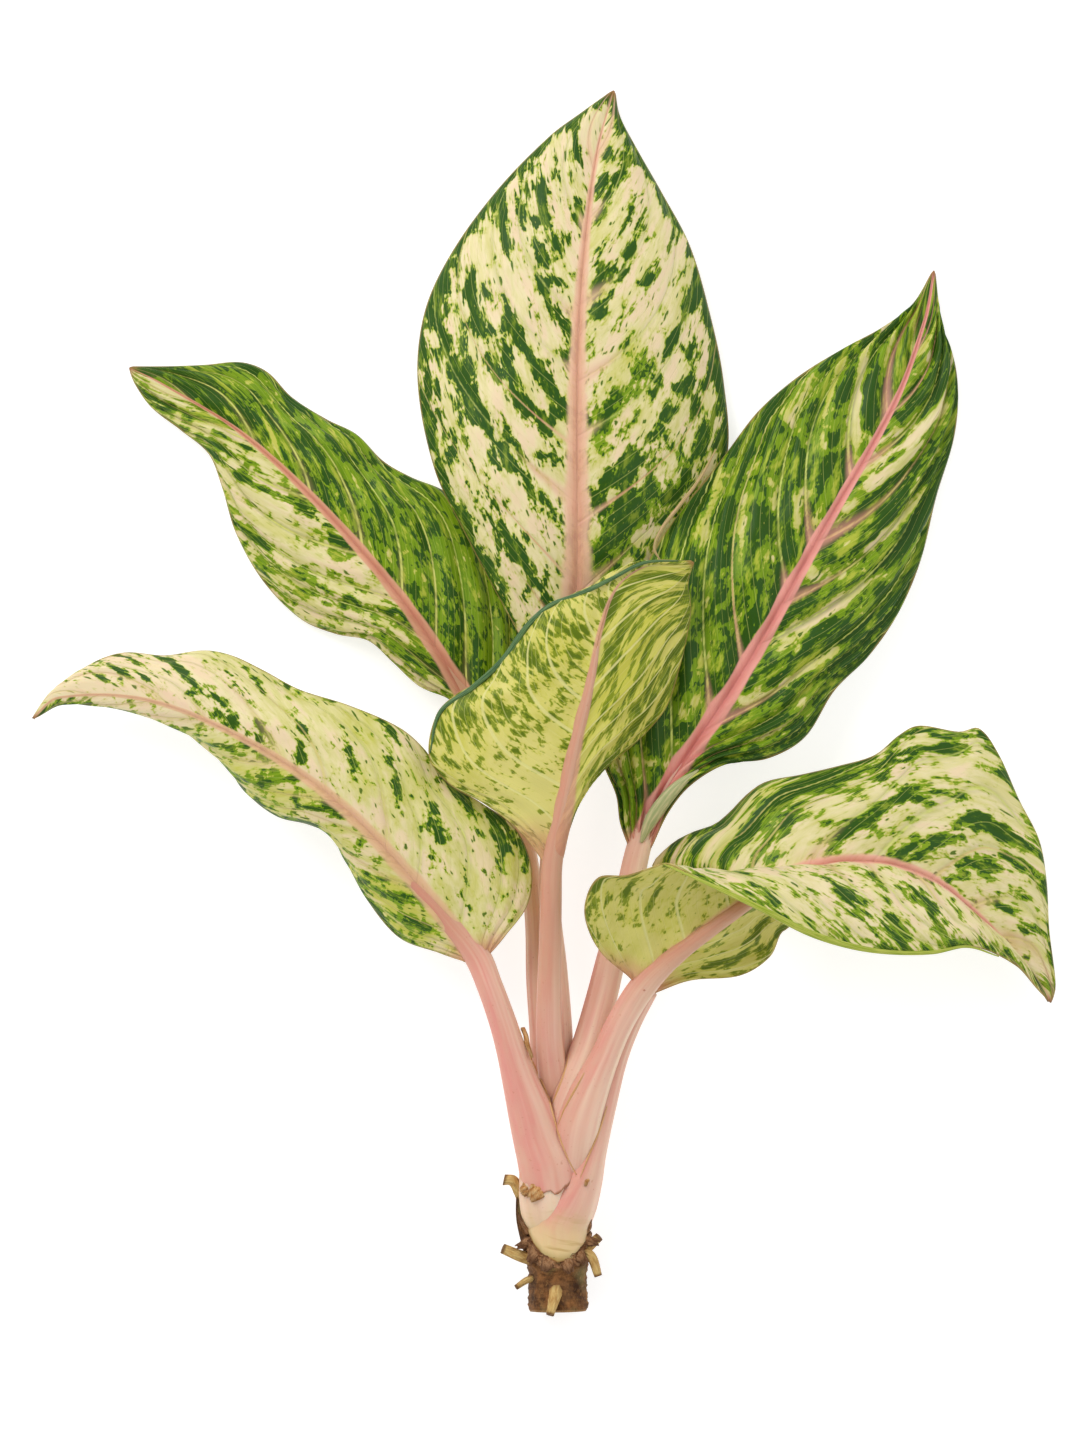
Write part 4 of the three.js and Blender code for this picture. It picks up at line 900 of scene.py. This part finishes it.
def veined(n, colour):
    """Side veins that are pink near the midrib and pale further out, with painted shade in the furrows
    beside them.
    """
    pink_share, pale_share, rib_share = n.look["vein_look"]
    pick = n.random(n.add(n.math("ROUND", n.vein), n.look["seed"] * 13.0))
    dash = n.step(n.pattern(30.0, 3.2, 37.0), 0.4, 0.58)
    dashed = n.times(n.line, n.scaled(dash, 0.65, 0.35))
    flare = n.math("EXPONENT", n.math("DIVIDE", n.from_rib, -8.0))
    pink_wide = n.times(n.scaled(flare, 6.5, 0.5), n.scaled(pick, 0.9, 0.3))
    pink_reach = n.step(n.from_rib, n.scaled(pick, 32.0, -5.0), 2.0)
    pink_line = n.times(n.step(n.off_mm, pink_wide, 0.0), pink_reach)
    pink = n.mix(n.step(n.from_rib, 3.0, 12.0), n.side_tone, PINK)
    # The first layer is painted shade: darker green in the furrows beside the side veins.
    return n.layers(colour, (DARK_GREEN, n.step(n.off_mm, 2.6, 0.3), n.look["furrow_shade"]),
                    (PALE_VEIN, n.fine_line, n.scaled(n.middle, 0.22, 0.08)),
                    (PALE_VEIN, dashed, pale_share), (pink, pink_line, pink_share),
                    (n.rib_colour, n.rib, rib_share))


def underside_colour(n):
    """The underside is duller, with soft marks."""
    return n.layers(UNDER_PALE, (UNDER_LIME, n.ground, 0.8), (UNDER_LIME, n.halo, 0.5),
                    (UNDER_GREEN, n.above(-0.04, 0.06), 0.85), (UNDER_DARK, n.deep, 0.75),
                    (UNDER_GREEN, n.fleck, 0.5), (UNDER_VEIN, n.line, 0.85),
                    (UNDER_FINE_VEIN, n.fine_line, 0.4), (n.rib_colour, n.rib, 0.85))


def blade_material(name, look, spacing_mm):
    n = BladeNodes(name, look, spacing_mm)
    upper = veined(n, mottled(n, marked_colour(n)))
    colour = n.mix(n.attribute("underside"), upper, underside_colour(n))
    start = n.step(n.scaled(n.uneven, 5.0, n.along), look["join"], 3.0)
    colour = n.layers(colour, (STALK_PINK, start, 0.8), (EDGE, n.step(n.from_margin, 0.6, 0.15), 0.7),
                      (TIP, n.step(n.share, 0.975, 1.0), 0.8))
    grain = n.pattern(0.5, 0.5, 31.0)
    height = n.scaled(n.fine_line, -0.25, n.times(grain, 0.3))
    height = n.scaled(n.line, -0.5, height)
    height = n.scaled(n.streak, 0.4, height)
    height = n.scaled(n.fibre, n.times(n.rib, 0.8), height)
    n.soften(0.1, (0.4, 0.5, 0.15), 0.0015)
    return n.finish(colour, height, 0.6, 0.0003, n.scaled(grain, 0.2, 0.32), 0.16)


# Materials of the stalks, the cane and the roots

class StalkNodes(Nodes):
    """Nodes with a stalk's own coordinates: round it, along it and from its edges."""

    def __init__(self, name, seed=0.0):
        super().__init__(name)
        self.right, self.up, self.along_mm = self.parts("stalk_around")
        self.from_edge, self.to_edge, self.share = self.parts("stalk_place")
        self.seed = seed

    def pattern(self, round_scale, along_mm, shift=0.0, detail=2.0, roughness=0.6):
        """Noise stretched along the stalk. It turns smoothly round it."""
        along = self.add(self.math("DIVIDE", self.along_mm, along_mm), self.seed * 3.7 + shift)
        place = self.join(self.times(self.right, round_scale), self.times(self.up, round_scale), along)
        return self.noise(place, detail, roughness)


def stalk_material(name, pink, cream_and_highlight, tan=(0.0, 40.0), sheath=False):
    """pink says how strong the blush of a stalk is, and the next number how strong its pale side is: partly
    its own cream streaks, partly a painted highlight along one side. tan says how strong its duller
    upper part is and how many millimetres along it starts."""
    n = StalkNodes("stalk_" + name, len(name))
    cloud = n.pattern(1.1, 26.0, roughness=0.5)
    small_cloud = n.pattern(2.4, 7.0, 2.0, roughness=0.55)
    streaks = n.pattern(2.2, 60.0, 5.0, roughness=0.5)
    fine = n.pattern(22.0, 30.0, 9.0)
    dots = n.pattern(5.0, 1.0, 13.0, 1.0, 0.5)
    blush = n.scaled(n.scaled(small_cloud, 0.5, cloud), 1.4, pink - 1.05, clamp=True)
    colour = n.mix(blush, rgb(218, 174, 148), rgb(222, 146, 134))
    # Pale cream streaks that lean to one side of the stalk: partly its own colour, partly a painted
    # highlight.
    pale = n.scaled(n.scaled(n.right, 0.3, streaks), 1.7, cream_and_highlight - 0.85, clamp=True)
    colour = n.mix(pale, colour, rgb(238, 210, 184))
    colour = n.layers(colour, (rgb(232, 192, 170), n.step(fine, 0.55, 0.8), 0.3),
                      (rgb(186, 108, 84), n.step(dots, 0.70, 0.76), 0.35),
                      (rgb(190, 134, 100), n.step(n.along_mm, tan[1], tan[1] + 30.0), tan[0]))
    if sheath:
        cream_part = n.step(n.scaled(n.add(cloud, small_cloud), 9.0, n.along_mm), 30.0, 11.0)
        crease = n.step(n.pattern(0.8, 1.8, 20.0, roughness=0.5), 0.52, 0.68)
        colour = n.layers(colour, (rgb(222, 198, 142), cream_part, 0.9),
                          (rgb(186, 146, 80), n.times(crease, cream_part), 0.6),
                          (rgb(164, 140, 76), n.step(n.from_edge, 3.6, 0.2), 0.65))
    else:
        seam = n.times(n.step(n.right, 0.93, 0.995), n.step(n.along_mm, 52.0, 30.0))
        colour = n.layers(colour, (rgb(168, 116, 62), seam, 0.6))
    burnt = n.step(n.add(n.from_edge, n.times(streaks, 1.6)), 1.8, 0.9)
    colour = n.layers(colour, (rgb(138, 84, 36), burnt, 0.85))
    n.soften(0.2, (1.0, 0.5, 0.35), 0.002)
    height = n.scaled(fine, 0.5, n.times(streaks, 0.4))
    return n.finish(colour, height, 0.45, 0.0004, n.scaled(fine, 0.2, 0.3), 0.3)


def rolled_material(name, dark, light):
    n = StalkNodes(name)
    streaks = n.pattern(3.0, 7.0, 0.0, 3.0)
    colour = n.mix(n.step(streaks, 0.35, 0.68), rgb(*dark), rgb(*light))
    return n.finish(colour, streaks, 0.5, 0.0003, 0.4)


def bark_material():
    n = StalkNodes("bark")
    coarse = n.pattern(2.2, 5.0, 0.0, 4.0, 0.65)
    ring = n.pattern(0.8, 1.3, 3.0)
    fine = n.pattern(9.0, 1.6, 5.0, 3.0, 0.7)
    region = n.pattern(0.9, 14.0, 8.0, 1.0, 0.5)
    colour = n.mix(n.step(coarse, 0.32, 0.68), rgb(62, 34, 8), rgb(146, 97, 52))
    colour = n.layers(colour, (rgb(150, 136, 84), n.step(region, 0.5, 0.66), 0.5),
                      (rgb(86, 64, 46), n.step(region, 0.44, 0.34), 0.4),
                      (rgb(160, 116, 66), n.step(fine, 0.54, 0.7), 0.5),
                      (rgb(60, 32, 12), n.step(ring, 0.42, 0.3), 0.5),
                      (rgb(178, 136, 84), n.step(n.from_edge, 0.9, 0.3), 0.5))
    height = n.scaled(ring, 0.5, n.add(coarse, n.times(fine, 0.6)))
    return n.finish(colour, height, 1.0, 0.0012, 0.75)


def scrap_material(name, dark, light, burnt=0.7):
    """burnt says how strong the brown rim is."""
    n = StalkNodes(name)
    coarse = n.pattern(2.4, 4.0, 0.0, 3.0, 0.65)
    fine = n.pattern(12.0, 6.0, 5.0, 2.0, 0.7)
    colour = n.mix(n.step(coarse, 0.3, 0.7), rgb(*dark), rgb(*light))
    rim = n.math("MINIMUM", n.from_edge, n.to_edge)
    colour = n.layers(colour, (rgb(214, 176, 132), n.step(fine, 0.5, 0.7), 0.5),
                      (rgb(82, 46, 22), n.step(rim, 0.9, 0.2), burnt))
    return n.finish(colour, n.add(coarse, n.times(fine, 0.8)), 0.9, 0.0008, 0.7)


def root_material():
    n = StalkNodes("root")
    coarse = n.pattern(1.4, 3.0, 0.0, 4.0, 0.65)
    fine = n.pattern(5.0, 8.0, 4.0)
    colour = n.mix(n.step(coarse, 0.35, 0.68), rgb(186, 140, 76), rgb(222, 192, 124))
    colour = n.layers(colour, (rgb(150, 104, 54), n.step(fine, 0.55, 0.7), 0.5),
                      (rgb(112, 72, 36), n.step(n.share, 0.5, 0.1), 0.85),
                      (rgb(104, 66, 32), n.step(n.to_edge, 1.1, 0.2), 0.85))
    return n.finish(colour, n.add(coarse, fine), 0.9, 0.0006, 0.65)


# Tubes

def ring_frames(rows, calm_mm):
    """A fine table of a tube's middles, half widths, half depths, sides and ups, and its length.
    The rings turn with the mean direction over calm_mm, so that thick ones don't cross."""
    table = smooth(rows, length_shares(rows), np.linspace(0, 1, TUBE_STEPS))
    length = np.linalg.norm(np.diff(rows[:, :3], axis=0), axis=1).sum()
    along = unit(np.gradient(table[:, :3], axis=0))
    reach = int(0.5 * TUBE_STEPS * min(calm_mm / length, 0.9))
    padded = np.vstack([np.repeat(along[:1], reach, 0), along, np.repeat(along[-1:], reach, 0)])
    sums = np.vstack([np.zeros((1, 3)), np.cumsum(padded, axis=0)])
    along = unit(sums[2 * reach + 1:] - sums[:-2 * reach - 1])
    reference = (0.0, 0.0, 1.0) if abs(along[:, 2]).max() < 0.9 else (0.3, 0.2, 1.0)
    side = unit(np.cross(along, reference))
    return np.hstack([table, side, np.cross(side, along)]), length


def tube(name, points, rings, sides, *finish, swell=None, floor_mm=-math.inf, edges=(None, None),
         calm_mm=8.0):
    """A closed tube of elliptic rings. swell(angle, share) changes the radius by a factor, and
    edges gives for the start and the end how far the wall is cut back at an angle, in millimetres.
    finish is the material, the slot, which is not used, and, where there is one, the node that the tube
    replaces."""
    table, length = ring_frames(np.array(points, float), calm_mm)
    angle = 2 * np.pi * np.arange(sides) / sides
    first, last = (np.zeros(sides) if edge is None else edge(angle) / length for edge in edges)
    step = np.linspace(0, 1, rings)[:, None] ** (1.0 if edges[0] is None else 1.4)
    share = first + (1 - first - last) * step
    flat = share.reshape(-1)
    fine = np.linspace(0, 1, TUBE_STEPS)
    centre, width, depth, side, up = (
        np.stack([np.interp(flat, fine, table[:, k]) for k in ks], 1)
        for ks in ((0, 1, 2), (3,), (4,), (5, 6, 7), (8, 9, 10)))
    turn = np.tile(angle, rings)[:, None]
    factor = 1.0 if swell is None else swell(angle, share).reshape(-1, 1)
    ring = centre + (side * width * np.cos(turn) + up * depth * np.sin(turn)) * factor
    ring[:, 2] = np.maximum(ring[:, 2], floor_mm)
    vertices = np.vstack([ring, centre[:sides].mean(0), centre[-sides:].mean(0)])
    faces = grid_faces(rings, sides, True)[:, ::-1].tolist()
    start_cap, end_cap = rings * sides, rings * sides + 1
    end = (rings - 1) * sides
    for k in range(sides):
        faces.append((start_cap, k, (k + 1) % sides))
        faces.append((end_cap, end + (k + 1) % sides, end + k))
    from_edge = (share - first) * length
    to_edge = (1 - last - share) * length
    attributes = {
        "stalk_around": (np.append(np.cos(turn), [0, 0]), np.append(np.sin(turn), [0, 0]),
                         np.append(share * length, [0, length])),
        "stalk_place": (np.append(from_edge, [0, length]), np.append(to_edge, [length, 0]),
                        np.append(share, [0, 1])),
    }
    return new_piece(name, vertices, faces, attributes, *finish)


def ribs(seed, amount):
    """Slight ribs along a tube, as a swell."""
    phases = np.random.default_rng(seed).uniform(0, 2 * np.pi, 6)

    def swell(angle, share):
        waves = sum(np.sin((5 + 3 * k) * angle + phases[k] + 3 * share) for k in range(6))
        return 1 + amount * waves / 2
    return swell


def bark_swell(seed):
    """Low bumps all over the cane."""
    bumps = np.random.default_rng(seed).uniform(-1, 1, (9, 4))

    def swell(angle, share):
        total = np.zeros(np.broadcast(angle, share).shape)
        for i, (size, turn, drift, rise) in enumerate(bumps):
            total += size * np.sin((3 + i) * angle + 6 * turn + 14 * share * drift) \
                * np.cos((4 + 3 * i) * share * 6 + 6 * rise)
        return 1 + 0.014 * total
    return swell


def ragged_edge(profile, seed, roughness_mm):
    """How far a wall is cut back round a stalk, following a profile from left to right."""
    phases = np.random.default_rng(seed).uniform(0, 2 * np.pi, 8)

    def edge(angle):
        base = np.interp(np.cos(angle), *profile)
        notches = sum(np.sin((4 + 5 * k) * angle + phases[k]) / (1 + 0.5 * k) for k in range(8))
        return np.maximum(base + roughness_mm * notches * 0.5, 0.0)
    return edge


# Stalks, cane and roots

def build_stalks():
    pieces = []
    for k, (name, points) in enumerate(STALKS.items()):
        torn = ragged_edge(TORN_EDGE, 7, 0.8) if name == "left_lower" else None
        pieces.append(tube("stalk_" + name, points, STALK_RINGS, STALK_SIDES,
                           stalk_material(name, *STALK_LOOKS[name]), "petiole", "petiole_" + name,
                           swell=ribs(100 + k, 0.008), edges=(torn, None)))
    pieces.append(tube("sheath_outer", OUTER_SHEATH, STALK_RINGS, STALK_SIDES + 24,
                       stalk_material("sheath", 0.6, 0.0, sheath=True), "petiole",
                       swell=ribs(120, 0.006), edges=(ragged_edge(CUP_EDGE, 8, 0.12), None), calm_mm=36.0))
    pieces.append(tube("sheath_inner", INNER_SHEATH, 40, STALK_SIDES,
                       stalk_material("inner_sheath", 0.0, 0.8, sheath=True), "petiole",
                       swell=ribs(121, 0.006)))
    build_sheath_margins(pieces)


def build_sheath_margins(pieces):
    """Thin papery lines draped over the stalks from above."""
    trees = []
    for piece in pieces:
        corners = [v.co.copy() for v in piece.data.vertices]
        trees.append(BVHTree.FromPolygons(corners, [tuple(f.vertices) for f in piece.data.polygons]))
    papery = rolled_material("margin", (196, 142, 84), (232, 190, 142))
    for k, line in enumerate(SHEATH_MARGINS):
        flat = np.column_stack([line, np.zeros(len(line))])
        path = place_curve(flat, np.linspace(0, 1, MARGIN_STEPS))
        rows = []
        for j, (x, y, _) in enumerate(path):
            start = (Vector((x, y, ABOVE_ALL_MM)) - Vector(CENTRE_MM)) * MM
            hits = [tree.ray_cast(start, Vector((0, 0, -1)))[0] for tree in trees]
            heights = [hit.z / MM for hit in hits if hit is not None]
            taper = math.sin(math.pi * (0.06 + 0.88 * j / (MARGIN_STEPS - 1))) ** 0.5
            if heights:
                half = MARGIN_HALF_WIDTH_MM * taper
                rows.append((x, y, max(heights), half, half * 0.8))
        tube(f"sheath_margin_{k + 1}", rows, 90, 10, papery, "petiole",
             swell=ribs(500 + k, 0.3), calm_mm=4.0)


def tapering(points, radii, flat=1.0):
    """Points with half widths that run from the first radius to the second, and half depths that
    are flat times as large."""
    rows = np.array(points, float)
    radius = np.interp(length_shares(rows), [0, 1], radii)
    return np.column_stack([rows, radius, radius * flat])


def build_cane():
    swell = bark_swell(200)
    bark = bark_material()
    tube("cane", CANE, 110, 80, bark, "cane", "stem", swell=swell, floor_mm=0.0)
    tube("collar", COLLAR, 40, 120, scrap_material("collar", (112, 68, 34), (198, 148, 104)), "cane",
         swell=swell, floor_mm=0.0,
         edges=(ragged_edge(COLLAR_FOOT, 21, 1.2), ragged_edge(COLLAR_EDGE, 22, 1.0)))
    roots = root_material()
    for k, (points, radii) in enumerate(ROOTS):
        tube(f"root_{k + 1}", tapering(points, radii), 40, 24, roots, "cane", swell=ribs(300 + k, 0.06))
    tube("dry_strip", tapering(*DRY_STRIP, flat=0.7), 40, 24, bark, "cane", swell=ribs(310, 0.1))


def build_scraps():
    """Small curled papery remains of old sheaths, and torn bits of the newer ones."""
    dry = scrap_material("scrap", (126, 80, 44), (206, 156, 112))
    torn = scrap_material("torn", (194, 118, 44), (240, 200, 140), 0.25)
    kinds = [(dry, scrap) for scrap in SCRAPS] + [(torn, bit) for bit in TORN_BITS]
    for k, (material, scrap) in enumerate(kinds):
        build_scrap(k, material, *scrap)


def build_scrap(k, material, centre, heading, length, width):
    rng = np.random.default_rng(400 + k)
    a, b = np.meshgrid(np.linspace(-0.3, 1, SCRAP_ROWS), np.linspace(-1, 1, SCRAP_COLUMNS), indexing="ij")
    x = length * a * (1 + 0.12 * rng.uniform(-1, 1, SCRAP_COLUMNS))
    y = 0.5 * width * b * (1 - 0.55 * np.clip(a, 0, 1) ** 2) + 0.15 * np.sin(7 * a + 3 * b + k)
    curl = 0.9 * np.sin(2.2 * a + rng.uniform(-0.3, 0.6)) - 0.9 * b ** 2
    z = curl + 0.18 * np.sin(9 * b + 5 * a + k)
    cos, sin = math.cos(math.radians(heading)), math.sin(math.radians(heading))
    sheet = np.stack([x * cos - y * sin, x * sin + y * cos, z], -1) + centre
    half = unit(np.cross(np.gradient(sheet, axis=0), np.gradient(sheet, axis=1))) * SCRAP_THICKNESS_MM / 2
    attributes = {
        "stalk_around": (b, a, np.full(a.shape, float(k))),
        "stalk_place": (1 - a, (1 - np.abs(b)) * 2, a),
    }
    new_shell(f"scrap_{k + 1}", sheet + half, sheet - half, True, attributes, material, "cane")


def along_margin(leaf, start_off, end_off, rows):
    """A roll along a leaf's left margin."""
    rows = np.array(rows)
    places = place_curve(LEAVES[leaf]["left"], rows[:, 0])
    places[:, :2] += np.linspace(start_off, end_off, len(rows))
    places[:, 2] += rows[:, 1]
    return np.column_stack([places, rows[:, 2:]])


def build_rolled_edges():
    """Margins that roll toward the viewer: the front leaf's, the right upper leaf's in two places,
    and that of the right lower leaf's near half."""
    for name, points, rings, sides, tones, slot in (
            ("margin", along_margin("front", *FRONT_ROLL), 90, 20, ((54, 88, 52), (104, 134, 84)),
             "blade_underside"),
            ("base", BASE_ROLL, 70, 24, ((150, 160, 108), (196, 186, 140)), "blade_underside"),
            ("near", along_margin("right_lower", *NEAR_ROLL), 110, 20, ((138, 158, 34), (188, 190, 88)),
             "blade_cream"),
            ("lip", LIP_ROLL, 60, 20, ((160, 150, 84), (206, 164, 130)), "blade_underside")):
        name = "rolled_" + name
        tube(name, points, rings, sides, rolled_material(name, *tones), slot)


# Stage

def build_stage():
    corners = [(x * FLOOR_REACH, y * FLOOR_REACH, 0) for x, y in ((-1, -1), (1, -1), (1, 1), (-1, 1))]
    mesh = bpy.data.meshes.new("floor")
    mesh.from_pydata(corners, [], [(0, 1, 2, 3)])
    floor = bpy.data.objects.new("floor", mesh)
    bpy.context.scene.collection.objects.link(floor)
    n = Nodes("floor")
    place = n.tree.nodes.new("ShaderNodeTexCoord").outputs["Object"]
    speckle = n.noise(place, roughness=0.5, scale=40.0)
    n.put(n.mix(speckle, rgb(186, 186, 186), rgb(190, 190, 190)), n.shader.inputs["Base Color"])
    n.shader.inputs["Roughness"].default_value = 0.8
    n.shader.inputs["Emission Color"].default_value = (1, 1, 1, 1)
    n.shader.inputs["Emission Strength"].default_value = 0.7
    mesh.materials.append(n.material)


def area_light(name, location, size, power):
    data = bpy.data.lights.new(name, "AREA")
    data.size = size
    data.energy = power
    light = bpy.data.objects.new(name, data)
    light.location = location
    light.rotation_euler = (-Vector(location)).to_track_quat("-Z", "Y").to_euler()
    bpy.context.scene.collection.objects.link(light)


def build_lights():
    """A white studio that is dimmer straight overhead, a key light and a fill light."""
    world = bpy.data.worlds.new("studio")
    world.use_nodes = True
    tree = world.node_tree
    direction = tree.nodes.new("ShaderNodeTexCoord").outputs["Generated"]
    parts = tree.nodes.new("ShaderNodeSeparateXYZ")
    tree.links.new(direction, parts.inputs[0])
    overhead = tree.nodes.new("ShaderNodeMapRange")
    overhead.interpolation_type = "SMOOTHSTEP"
    for key, value in (("From Min", 0.72), ("From Max", 0.95), ("To Min", 0.84), ("To Max", 0.25)):
        overhead.inputs[key].default_value = value
    tree.links.new(parts.outputs["Z"], overhead.inputs["Value"])
    tree.links.new(overhead.outputs["Result"], tree.nodes["Background"].inputs["Strength"])
    tree.nodes["Background"].inputs["Color"].default_value = (1, 1, 1, 1)
    bpy.context.scene.world = world
    bpy.context.scene.view_settings.view_transform = "Standard"
    area_light("key", (-0.8, 0.9, 1.2), 0.8, 14)
    area_light("fill", (0.9, 0.2, 1.4), 1.2, 4)


def build_camera():
    data = bpy.data.cameras.new("camera")
    data.sensor_fit = "HORIZONTAL"
    data.sensor_width = SENSOR
    data.lens = SENSOR * (CAMERA_DISTANCE - LEAF_HEIGHT) / FRAME_WIDTH
    data.clip_end = 20
    camera = bpy.data.objects.new("camera", data)
    camera.location = ((AIM_MM[0] - CENTRE_MM[0]) * MM, (AIM_MM[1] - CENTRE_MM[1]) * MM, CAMERA_DISTANCE)
    bpy.context.scene.collection.objects.link(camera)
    bpy.context.scene.camera = camera


build_camera()
build_lights()
build_stage()
for leaf_name in LEAVES:
    build_blade(leaf_name)
build_stalks()
build_cane()
build_scraps()
build_rolled_edges()
